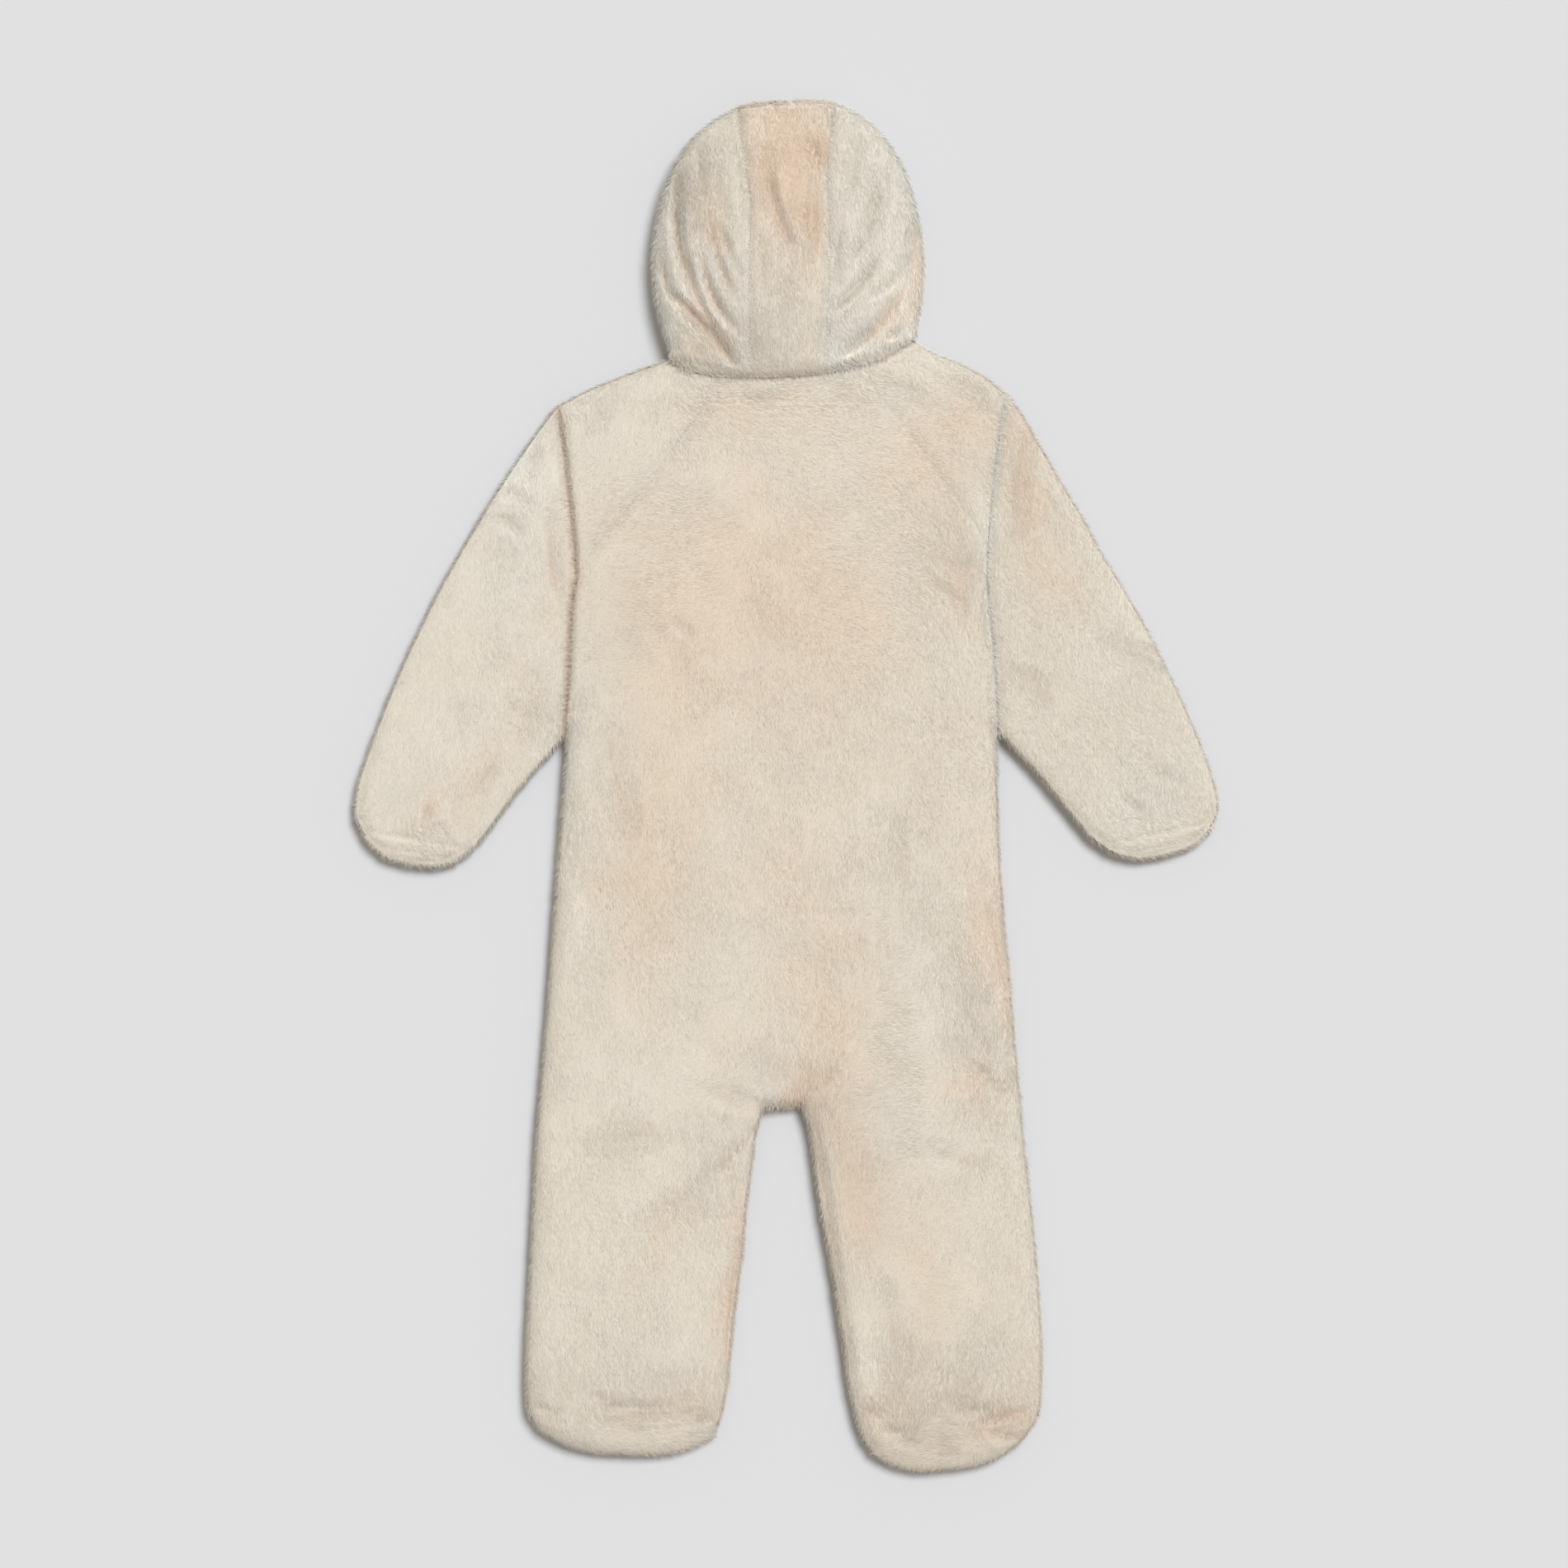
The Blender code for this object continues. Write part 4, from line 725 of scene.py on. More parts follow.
mitt_rims = [
    np.concatenate([part[row_of(side, row) :], mitt_end(side)])
    for side, row, part in (
        ("left", 19, SLEEVES["left"][1]),
        ("left", 21, SLEEVES["left"][0]),
        ("right", 19, SLEEVES["right"][1]),
        ("right", 19, SLEEVES["right"][0]),
    )
]


# ---------------------------------------------------------------- heights


def pressed(points, on, core=False):
    """How far the creases on one part of the suit press the cloth down at these points, or how deep in one they are."""
    flat = points.reshape(-1, 2)
    down = np.zeros(len(flat))
    for row in CREASES:
        if row.on != on:
            continue
        a, b = np.array([row.x0, row.y0]), np.array([row.x1, row.y1])
        t = np.linspace(0, 1, 9)[:, None]
        side = np.array([b[1] - a[1], a[0] - b[0]]) / np.linalg.norm(b - a)
        line = a + (b - a) * t + side * row.bend * 4 * t * (1 - t)
        half_width = row.half_width if on == "hood" else max(row.half_width, 4.4)
        reach = 3 * half_width
        low, high = line.min(0) - reach, line.max(0) + reach
        close = np.flatnonzero(((flat > low) & (flat < high)).all(1))
        if not len(close):
            continue
        p = flat[close]
        off = distance(p, line) / half_width
        along = np.clip((p - a) @ (b - a) / ((b - a) @ (b - a)), 0, 1)
        fade = np.sin(math.pi * (0.06 + 0.88 * along)) ** 0.7
        wander = 1 + 0.35 * noise(p, 11.0, 71)
        if core:
            shape = np.exp(-((off / (0.3 if on == "hood" else 0.22)) ** 2)) * (row.depth > 0)
        elif on == "hood":
            shape = 0.7 * np.exp(-(off**2)) + 0.4 * np.exp(-((off / 0.5) ** 2))
        else:
            shape = 0.9 * np.exp(-(off**2))
        depth = row.depth if row.depth > 0 else 0.5 * row.depth
        down[close] += depth * CREASE_MORE[on] * fade * wander * shape
    return down.reshape(points.shape[:-1])


def uneven(points, much):
    """Slow rises and dips of soft cloth lying loosely."""
    return much * (0.6 * noise(points, 62.0, 3) + 0.3 * noise(points, 27.0, 4) + 0.16 * noise(points, 12.0, 5))


def grooves(points, lines, depth=GROOVE_DEPTH, width=GROOVE_WIDTH):
    off = np.min([distance(points, line) for line in lines], axis=0)
    return depth * np.exp(-((off / width) ** 2))


def rim_groove(points, edge):
    """A narrow seam groove a little way in from an edge."""
    off = distance(points, edge)
    return EDGE_GROOVE_DEPTH * np.exp(-(((off - EDGE_GROOVE) / EDGE_GROOVE_WIDTH) ** 2))


def body_top(points):
    side = np.min([distance(points, line) for line in back_edges], axis=0)
    shoulder = np.min([distance(points, line) for line in shoulders], axis=0)
    tuck = np.min([distance(points, line) for line in (*tucks, *held_lines)], axis=0)
    collar = distance(points, neck_line)
    inside = np.minimum(np.minimum(side, shoulder), tuck)
    crown = BODY_CROWN + BODY_SWELL * (1 - np.exp(-inside / 60.0))
    drop = np.max(
        [
            (crown - SEAM_Z - LIP) * (1 - rolled(side, BODY_ROLL)),
            (crown - SEAM_Z - LIP) * (1 - rolled(shoulder, BODY_ROLL)),
            (crown - TUCK_TOP_Z) * (1 - rolled(tuck, TUCK_BODY_ROLL)),
            (crown - COLLAR_Z) * (1 - eased(collar, NECK_ROLL)),
        ],
        axis=0,
    )
    fade = np.clip(inside / 10, 0, 1)
    dips = grooves(points, raglans, 0.3, 4.0) + grooves(points, raglans, 0.4, 1.5) + pressed(points, "body")
    return crown - drop + (uneven(points, 1.0) - dips) * fade - rim_groove(points, LEGS["right"][1][3:]) * 0.9


def arm_top(points, side):
    inner, outer, _, _ = SLEEVES[side]
    fold, free = row_of(side, FOLD_ROW), row_of(side, FREE_ROW)
    loose = [outer[fold:], inner[free:], mitt_end(side)]
    tucked = [tucks[0 if side == "left" else 1], inner[fold : free + 1]]
    d = np.min([distance(points, line) for line in loose], axis=0)
    held = np.min([distance(points, line) for line in tucked], axis=0)
    drop = np.max(
        [
            (ARM_CROWN - SEAM_Z - LIP) * (1 - rolled(d, ARM_ROLL)),
            (ARM_CROWN - TUCK_LOW_Z) * (1 - eased(held, TUCK_ARM_ROLL)),
        ],
        axis=0,
    )
    fade = np.clip(np.minimum(d, held) / 9, 0, 1)
    rims = [rim for rim in mitt_rims if (rim[-1, 0] < 0) == (side == "left")]
    seam = np.max([rim_groove(points, rim) for rim in rims], axis=0)
    return ARM_CROWN - drop + (uneven(points, 0.9) - pressed(points, "arm")) * fade - seam


def under(points, lines, width=UNDER_ROLL, rim=SEAM_Z - LIP):
    """The lower side: flat on the surface, rolling up to the seams and folds at its edges."""
    d = np.min([distance(points, line) for line in lines], axis=0)
    return rim * (1 - rolled(d, width))


# ---------------------------------------------------------------- shells


def raised(points, height):
    return np.concatenate([points, np.broadcast_to(height, points.shape[:-1])[..., None]], -1)


def strip(edge, level, steps=3):
    """An upright strip of cloth from an edge to a level."""
    rise = (level - edge[:, 2:3]) * np.array([0.0, 0.0, 1.0])
    return np.stack([edge + rise * k / (steps - 1) for k in range(steps)])


def joined(grids):
    """Vertices and faces of grids of points, welded where they meet."""
    points, faces, start = [], [], 0
    for grid in grids:
        rows, cols = grid.shape[:2]
        index = start + np.arange(rows * cols).reshape(rows, cols)
        faces.append(
            np.stack([index[:-1, :-1], index[1:, :-1], index[1:, 1:], index[:-1, 1:]], -1).reshape(-1, 4)
        )
        points.append(grid.reshape(-1, 3))
        start += rows * cols
    points, faces = np.concatenate(points), np.concatenate(faces)
    _, first, index = np.unique(
        np.round(points / 0.02).astype(np.int64), axis=0, return_index=True, return_inverse=True
    )
    return points[first], index.reshape(-1)[faces]


hood_seam_lines = [
    spline(columns(HOOD, f"seam_{side}_x", f"seam_{side}_y"), np.linspace(0, len(HOOD) - 1, 40))
    for side in SLEEVES
]


class Shell:
    """One piece of cloth: its outer surface, without the pile."""

    def __init__(self, name, grids, lies_up=True, top=None):
        self.name, self.top = name, top
        points, faces = joined(grids)
        bm = bmesh.new()
        verts = [bm.verts.new(p) for p in points * MM]
        for face in faces:
            corners = list(dict.fromkeys(int(i) for i in face))
            if len(corners) > 2:
                try:
                    bm.faces.new([verts[i] for i in corners])
                except ValueError:
                    pass
        bmesh.ops.recalc_face_normals(bm, faces=bm.faces)
        level = [f for f in bm.faces if abs(f.normal.z) > 0.7]
        furthest = max(level, key=lambda f: f.calc_center_median().z * (1 if lies_up else -1))
        if (furthest.normal.z > 0) != lies_up:
            bmesh.ops.reverse_faces(bm, faces=bm.faces)
        mesh = bpy.data.meshes.new(name)
        bm.to_mesh(mesh)
        bm.free()
        count = len(mesh.vertices)
        co, normal = np.zeros(count * 3, np.float32), np.zeros(count * 3, np.float32)
        mesh.vertices.foreach_get("co", co)
        mesh.vertices.foreach_get("normal", normal)
        co, self.normals = co.reshape(-1, 3).astype(float) / MM, normal.reshape(-1, 3).astype(float)
        turn = np.clip((self.normals[:, 2] + 0.7) / 0.9, 0, 1)
        turn = turn * turn * (3 - 2 * turn)
        inset = (PILE_UNDER + (PILE_OVER - PILE_UNDER) * turn)[:, None] * self.normals
        seam, way = beside(co[:, :2], (*raglans, *tucks, *held_lines, *hood_seam_lines, neck_line))
        side_way = np.stack([-way[:, 1], way[:, 0]], 1)
        held = 1 - np.clip(seam / 6, 0.01, 1)
        across_seam = (inset[:, :2] * side_way).sum(1) * held
        inset[:, :2] -= side_way * across_seam[:, None]
        inset[:, 2] = np.maximum(inset[:, 2], np.where(self.normals[:, 2] > 0.05, PILE_OVER * held, -9.0))
        self.points = co - inset
        self.points[:, 2] = np.maximum(self.points[:, 2], 0.5)
        mesh.vertices.foreach_set("co", (self.points * MM).astype(np.float32).ravel())
        mesh.calc_loop_triangles()
        corners = np.zeros(len(mesh.loop_triangles) * 3, np.int32)
        mesh.loop_triangles.foreach_get("vertices", corners)
        self.triangles = corners.reshape(-1, 3)
        mesh.shade_smooth()
        mesh.update()
        self.object = bpy.data.objects.new(name + "_cloth", mesh)
        bpy.context.scene.collection.objects.link(self.object)
        solid = self.object.modifiers.new("cloth", "SOLIDIFY")
        solid.thickness = SHELL * MM
        solid.offset = -1
        # the peach tint, with painted warm shade in creases and folds and a painted highlight along one fold
        store(mesh, "warm", peach_with_painted_shade_and_highlight(self.points[:, :2], name))
        # painted shade and painted light on the cloth
        store(mesh, "dim", shade_light_painted_at(self.points[:, :2], name))
        # painted shade: the cloth under the pile is darker and warmer, as it is seen in the shadow between the strands
        store(mesh, "shade", np.full(count, 0.45))
        lie, share = lie_at(self.points[:, :2])
        store(mesh, "level", share * np.sin(np.radians(lie)) ** 2)
        map_flat(mesh, self.points)
        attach(self.object, "suit")
        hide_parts(name)


def store(mesh, name, values):
    mesh.attributes.new(name, "FLOAT", "POINT").data.foreach_set("value", np.asarray(values, np.float32))


def map_flat(mesh, points):
    """A map of the piece as it lies, with its upright parts leaning so that they cover some of it."""
    flat = points[:, :2] + points[:, 2:3] * np.array([0.31, 0.23])
    low = flat.min(0)
    flat = (flat - low) / (flat.max(0) - low).max() * 0.98 + 0.01
    corners = np.zeros(len(mesh.loops), np.int32)
    mesh.loops.foreach_get("vertex_index", corners)
    made = mesh.uv_layers.new(name="OFBake")
    made.data.foreach_set("uv", flat[corners].astype(np.float32).ravel())


def ovals(points, rows):
    """The sum of soft ovals at flat points, each as high as its last number."""
    found = np.zeros(points.shape[:-1])
    wander = np.stack([noise(points, 21.0, 13), noise(points, 21.0, 14)], -1) * 9.0
    wander += np.stack([noise(points, 8.0, 15), noise(points, 8.0, 16)], -1) * 3.0
    for row in rows:
        c, s = math.cos(math.radians(row.turn)), math.sin(math.radians(row.turn))
        p = points + wander - np.array([row.x, row.y])
        x, y = p[..., 0] * c + p[..., 1] * s, p[..., 1] * c - p[..., 0] * s
        found += row[-1] * np.exp(-((x / row.half_wide) ** 2) - (y / row.half_long) ** 2)
    return found


def lie_at(points):
    """The pile's direction at flat points, in degrees, and how much it replaces the piece's own."""
    total, weight = np.zeros(len(points)), np.zeros(len(points))
    for row in LIES:
        found = ovals(points, [row._replace(degrees=1.0)])
        total += found * row.degrees
        weight += found
    return total / np.maximum(weight, 1e-9), np.clip(weight * 1.15, 0, 1)


def peach_with_painted_shade_and_highlight(points, name):
    """How peach a piece's cloth is at flat points, from 0 to 1: its own mottled tint and peach patches, with painted
    warm shade in the creases, on the hood's rim at the neck and in the fold over the left arm, and a painted highlight
    as a paler line along the fold over the right arm.
    """
    mottle_and_painted_shade = 0.39 + 0.06 * noise(points, 58.0, 10) + 0.05 * noise(points, 34.0, 11) + 0.05 * noise(points, 13.0, 12)
    if "hood" in name:
        # painted warm shade in the hood's creases
        mottle_and_painted_shade += 0.06 * np.clip(pressed(points, "hood"), 0, 4)
        # painted warm shade on the hood's rim at the neck
        mottle_and_painted_shade += 0.25 * np.exp(-((near(points, neck_line, 14.0) / 4.5) ** 2))
    # a painted highlight: a paler line along the fold over the right arm
    fold = np.min([near(points, line + np.array([-1.2, 0.0]), 8.0) for line in (tucks[1], held_lines[1])], axis=0)
    mottle_and_painted_shade -= 0.3 * np.exp(-((fold / 1.5) ** 2))
    # painted warm shade in the fold over the left arm
    mottle_and_painted_shade += 0.45 * np.exp(-((left_fold(points) / 3.5) ** 2))
    # painted warm shade in the crease cores
    deep = np.minimum(creased(points, name), 4)
    return np.clip(mottle_and_painted_shade + WARMER.get(name, 0.0) + (0.07 if "hood" in name else 0.1) * deep + 0.5 * ovals(points, PATCHES), 0, 1)


def shade_light_painted_at(points, name):
    """How much painted shade darkens a piece's cloth at flat points, and painted light where the value is negative."""
    # painted shade in the listed spots and in the crease cores
    found = ovals(points, PAINTED_SHADE_LIGHT) + (0.032 if "hood" in name else 0.075) * np.minimum(creased(points, name), 6)
    if "hood" in name:
        # painted light on the hood's rim at the neck, where it lies in shade
        found -= 0.09 * np.exp(-(((near(points, neck_line, 14.0) - 3.5) / 3.5) ** 2))
    # painted light along the hood's side rims, which face away from the sun
    for side, rim_painted_light in (("left", 0.2), ("right", 0.12)):
        if name == f"hood_side_{side}":
            found -= rim_painted_light * np.exp(-((near(points, hood_line(side), 16.0) / 6.0) ** 2))
    # a painted shadow line along the fold over the left arm
    return found + 0.22 * np.exp(-((left_fold(points) / 1.1) ** 2))


def left_fold(points):
    """Least distance to the fold over the left arm."""
    return np.min([near(points, line + np.array([-0.7, 0.0]), 12.0) for line in (tucks[0], held_lines[0])], axis=0)


def creased(points, name):
    return pressed(points, "hood" if "hood" in name else "arm" if "sleeve" in name else "body", core=True)


half = RIM_GAP / 2
near_edge = (0, 0.8, 2.0, 3.6, 5.6, 8.2, 11.4)
leg_shares = shares_of(140.0, near_edge, near_edge, 4.2)


def leg_grid(side):
    start, end, bow = LEGS[side]
    grid = across(start, end, bow if side == "left" else -bow, leg_shares)
    return grid if side == "left" else grid[:, ::-1]


legs = {side: leg_grid(side) for side in LEGS}
crotch_left, crotch_right = legs["left"][0, -1], legs["right"][0, 0]
wide = torso_right[-1, 0] - torso_left[-1, 0]
share_a = (crotch_left[0] - torso_left[-1, 0]) / wide
share_b = (crotch_right[0] - torso_left[-1, 0]) / wide
crotch_shares = np.linspace(share_a, share_b, 7)
torso_shares = np.array(
    [*(leg_shares * share_a), *crotch_shares[1:-1], *(share_b + leg_shares * (1 - share_b))]
)
torso = across(torso_left, torso_right, np.zeros(len(torso_at)), torso_shares)
torso[0, :, 1] = neck(torso[0, :, 0])
crotch = crotch_left + (crotch_right - crotch_left) * np.linspace(0, 1, 7)[1:-1, None]
torso[-1] = np.concatenate([legs["left"][0], crotch, legs["right"][0]])

back_torso = raised(torso, body_top(torso))
back_legs = {side: raised(grid, body_top(grid)) for side, grid in legs.items()}
count = len(leg_shares)
back_edge = np.concatenate(
    [
        back_torso[fold_index:, 0],
        back_legs["left"][1:, 0],
        back_legs["left"][-1, 1:],
        back_legs["left"][-2::-1, -1],
        back_torso[-1, count : count + 5],
        back_legs["right"][:, 0],
        back_legs["right"][-1, 1:],
        back_legs["right"][-2::-1, -1],
        back_torso[-2 : fold_index - 1 : -1, -1],
    ]
)
shells = {
    "back": Shell("back", [back_torso, *back_legs.values(), strip(back_edge, SEAM_Z + half)], top=body_top)
}


def zip_edge(y, side):
    sign = -1 if side == "left" else 1
    below = np.clip((ZIP_END_Y - y) / (ZIP_END_Y - TORSO[-1].y), 0, 1)
    opening = np.where(y >= ZIP_END_Y - 1, ZIP_SLOT / 2, half + 0.1)
    middle = (crotch_left[0] + crotch_right[0]) / 2 * below
    return middle + sign * opening


coarse_shares = shares_of(140.0, (0, 1.6, 4.0, 7.5), (0, 1.6, 4.0, 7.5), 9.0)


def coarse(rows, edge):
    """Every other row, and every row near an end."""
    keep = [i for i in range(len(rows)) if i % 2 == 0 or i > len(rows) - edge or i == 1]
    return rows[keep]


def front(side):
    outer = coarse(torso_left if side == "left" else torso_right, 2)
    y = outer[:, 1]
    inner = zip_edge(y, side)
    edge = crotch_left if side == "left" else crotch_right
    part = (edge[0] - inner[-1]) / (outer[-1, 0] - inner[-1])
    shares = np.array([*(coarse_shares * (1 - part)), 1.0])
    x = outer[:, 0:1] + (inner - outer[:, 0])[:, None] * shares
    grid = np.stack([x, np.broadcast_to(y[:, None], x.shape)], -1)
    grid[0, :, 1] = neck(grid[0, :, 0])
    start, end, bow = (coarse(rows, 12) for rows in LEGS[side])
    leg = across(start, end, bow if side == "left" else -bow, coarse_shares)
    grid[-1, :-1] = leg[0]
    grid[-1, -1, 1] = (crotch_left[1] + crotch_right[1]) / 2
    top, bottom = raised(grid, under(grid, free_edges)), raised(leg, under(leg, free_edges))
    first = int(np.argmin(np.abs(y - TORSO[FOLD_ROW].y)))
    edge = np.concatenate(
        [top[first:, 0], bottom[1:, 0], bottom[-1, 1:], bottom[-2::-1, -1], top[-1:, -1]]
    )
    zipped = top[y >= ZIP_END_Y - 1, -1]
    shells["front_" + side] = Shell(
        "front_" + side,
        [top, bottom, strip(edge, SEAM_Z - half), strip(zipped, zipped[0, 2] + 4.3, 4)],
        lies_up=False,
    )


front("left")
front("right")


def start_at_neck(grid):
    """Puts the first row on the neck line, and keeps the next rows clear of it."""
    grid[0, :, 1] = neck(grid[0, :, 0])
    for row in range(1, 5):
        beside_it = (grid[row, :, 0] > neck_line[0, 0]) & (grid[row, :, 0] < neck_line[-1, 0])
        least = neck(grid[row, beside_it, 0]) - 0.45 * row
        grid[row, beside_it, 1] = np.minimum(grid[row, beside_it, 1], least)


def sleeve(side):
    inner, outer, bow, at = (part.copy() for part in SLEEVES[side])
    fold, free = row_of(side, FOLD_ROW), row_of(side, FREE_ROW)
    lap = np.interp(at[: free + 1], (0, FOLD_ROW, FOLD_ROW + 2, FREE_ROW), (SEAM_LAP, SEAM_LAP, HELD_LAP, SEAM_LAP))
    inner[: free + 1] -= lap[:, None] * outwards(inner[: free + 1], 1 if side == "left" else -1)
    shares = shares_of(118.0, (0, 1.0, 2.6, 5.0, 8.5), near_edge, 3.6)
    grid = across(inner, outer, bow, shares)
    start_at_neck(grid)
    top = np.concatenate([body_top(grid[:fold]), arm_top(grid[fold:], side)])
    top[:, -1] = SEAM_Z
    low_shares = shares_of(118.0, (0, 1.6, 4.0), (0, 0.8, 2.4, 5.0, 8.5), 9.0)
    flat = across(inner, outer, bow, low_shares)
    start_at_neck(flat)
    loose = [outer, inner[free:], mitt_end(side)]
    low = under(flat, loose)
    low[:, -1] = SEAM_Z
    upper, lower = raised(grid, top), raised(flat, low)
    strips = []
    for part, level in ((upper, SEAM_Z + half), (lower, SEAM_Z - half)):
        edge = np.concatenate([part[free:, 0], part[-1, 1:]])
        rise = level - edge[:, 2:3]
        rise[-1] = 0
        strips.append(np.stack([edge + rise * k * np.array([0, 0, 0.5]) for k in range(3)]))
    a, b = tucks[0 if side == "left" else 1][[0, -1]]

    def sleeve_top(points):
        """The upper side of the whole sleeve, above and below the fold."""
        turn = (b[0] - a[0]) * (points[:, 1] - a[1]) - (b[1] - a[1]) * (points[:, 0] - a[0])
        above = turn * (b[0] - a[0]) > 0
        found = np.zeros(len(points))
        found[above], found[~above] = body_top(points[above]), arm_top(points[~above], side)
        return found

    shells["sleeve_" + side] = Shell("sleeve_" + side, [upper, lower, *strips], top=sleeve_top)


sleeve("left")
sleeve("right")

# Hood
hood_rows = columns(HOOD, "left_y")[:, 0]
hood_at = stations(np.maximum(np.diff(hood_rows), 6.0), 2.3)


def hood_line(name):
    return spline(columns(HOOD, name + "_x", name + "_y"), hood_at)


hood_seams = [hood_line("seam_left"), hood_line("seam_right")]
hood_sides = [hood_line("left"), hood_line("right")]
hood_crest = np.concatenate(
    [
        hood_sides[0][-1:],
        across(hood_seams[0][-1:], hood_seams[1][-1:], [-HOOD_TOP_BOW], fine)[0],
        hood_sides[1][-1:],
    ]
)


def hood_top(points):
    rim = np.min([distance(points, line) for line in (*hood_sides, hood_crest)], axis=0)
    collar = distance(points, neck_line)
    drop = np.maximum(
        (HOOD_CROWN - 0.8 - HOOD_RIM_Z) * (1 - rolled(rim, HOOD_ROLL)),
        (HOOD_CROWN - COLLAR_Z) * (1 - 0.42 * rolled(collar, NECK_ROLL * 0.6) - 0.58 * eased(collar, NECK_ROLL * 3.4)),
    )
    swayed_seam = points + 1.1 * np.stack([noise(points, 9.0, 61), noise(points, 9.0, 62)], -1)
    dips = grooves(swayed_seam, hood_seams, 0.95, 4.5) * (1 + 0.5 * noise(points, 16.0, 63))
    dips += grooves(swayed_seam, hood_seams, 0.9, 1.7) + pressed(points, "hood")
    fade = np.clip(np.minimum(rim, collar) / 9, 0, 1)
    return HOOD_CROWN - 0.8 - drop + (uneven(points, 1.1) - dips) * fade


RETURN_STEPS = (0.0, 0.012, 0.035, 0.07, 0.12, 0.19, 0.27, 0.4, 0.55, 0.75, 1.0)


def hood_panel(name, start, end, shares, face, bow=0.0, open_side=True):
    bows = np.zeros(len(hood_at))
    bows[-1] = bow
    grid = across(start, end, bows, shares)
    grid[0, :, 1] = neck(grid[0, :, 0]) + NECK_GAP
    upper = raised(grid, hood_top(grid))
    upper[-1, :, 2] = HOOD_RIM_Z
    if open_side:
        upper[:, -1, 2] = HOOD_RIM_Z
        rim = np.concatenate([upper[:, -1], upper[-1, -2::-1]])
    else:
        rim = upper[-1]
    steps = np.array(RETURN_STEPS)[None, :, None]
    path = rim[:, None, :2] + (face[:, None] - rim[:, None, :2]) * steps
    if open_side:
        path[0, :, 1] = neck(path[0, :, 0]) + NECK_GAP
    reach = np.linalg.norm(path - rim[:, None, :2], axis=2)
    height = HOOD_RIM_Z * (1 - rolled(reach, HOOD_UNDER_ROLL))
    shells[name] = Shell(name, [upper, raised(path, height)], top=hood_top)


def face_points(side, count):
    rows = hood_line("face_" + side)
    seam = np.array(FACE_SEAM_LEFT if side == "left" else FACE_SEAM_RIGHT)
    step = np.linspace(0, 1, count)[1:, None]
    return np.concatenate([rows, rows[-1] + (seam - rows[-1]) * step])


side_shares = shares_of(60.0, (0, 1.0, 2.2, 3.8), (0, 0.7, 1.8, 3.4, 5.4, 7.6), 2.3)
lap = np.array([SEAM_LAP, 0.0])
hood_panel(
    "hood_side_left",
    hood_seams[0] + lap,
    hood_sides[0],
    side_shares,
    face_points("left", len(side_shares)) + lap,
    bow=0.4,
)
hood_panel(
    "hood_side_right",
    hood_seams[1] - lap,
    hood_sides[1],
    side_shares,
    face_points("right", len(side_shares)) - lap,
    bow=-0.4,
)
centre_shares = shares_of(53.0, (0, 1.0, 2.2, 3.8), (0, 1.0, 2.2, 3.8), 2.3)
hood_panel(
    "hood_centre",
    hood_seams[0],
    hood_seams[1],
    centre_shares,
    np.array(FACE_SEAM_LEFT)
    + (np.array(FACE_SEAM_RIGHT) - np.array(FACE_SEAM_LEFT)) * centre_shares[:, None],
    bow=-HOOD_TOP_BOW,
    open_side=False,
)


# ---------------------------------------------------------------- pile

# Seams and edges where the pile is caught short, and for how far
short_lines = [(line, 0.85, 5.0) for line in raglans]
short_lines += [(line, 0.8, 5.5) for line in hood_seams]
short_lines += [(neck_line, 0.7, 6.0)]
beside_zip = [(np.array([[0.0, ZIP_TOP_Y], [0.0, ZIP_END_Y]]), 0.35, 9.0)]


# The pile lies across these seams, every way, so that it hides them: for how far each side, and how much
crossed = [(line, 1.6, 0.3) for line in raglans]
crossed += [(line, 2.6, 1.0) for line in (*hood_seams, *tucks, *held_lines, neck_line)]

def length_at(points, lines):
    """How long the pile is at flat points, from 0 to 1."""
    found = np.ones(len(points))
    for line, least, reach in lines:
        t = near(points, line, reach) / reach
        found = np.minimum(found, least + (1 - least) * t * t * (3 - 2 * t))
    return found


def clump_of(points, size, seed):
    """The nearest point of a jittered grid to each flat point, and a number for each from 0 to 96."""
    rng = np.random.default_rng(seed)
    jitter = rng.uniform(0.08, 0.92, (2, 211, 211))
    marks = rng.integers(0, 4096, (211, 211))
    cell = np.floor(points / size).astype(int)
    best = np.full(len(points), 1e9)
    found, mark = np.zeros_like(points), np.zeros(len(points), int)
    for dx in (-1, 0, 1):
        for dy in (-1, 0, 1):
            at = cell + (dx, dy)
            key = at[:, 0] % 211, at[:, 1] % 211
            seed_at = (at + np.stack([jitter[0][key], jitter[1][key]], 1)) * size
            d = np.linalg.norm(points - seed_at, axis=1)
            nearer = d < best
            best[nearer] = d[nearer]
            found[nearer] = seed_at[nearer]
            mark[nearer] = marks[key][nearer]
    return found, mark


def turned(vectors, axes, angles):
    """Vectors turned about unit axes at right angles to them."""
    return vectors * np.cos(angles)[:, None] + np.cross(axes, vectors) * np.sin(angles)[:, None]


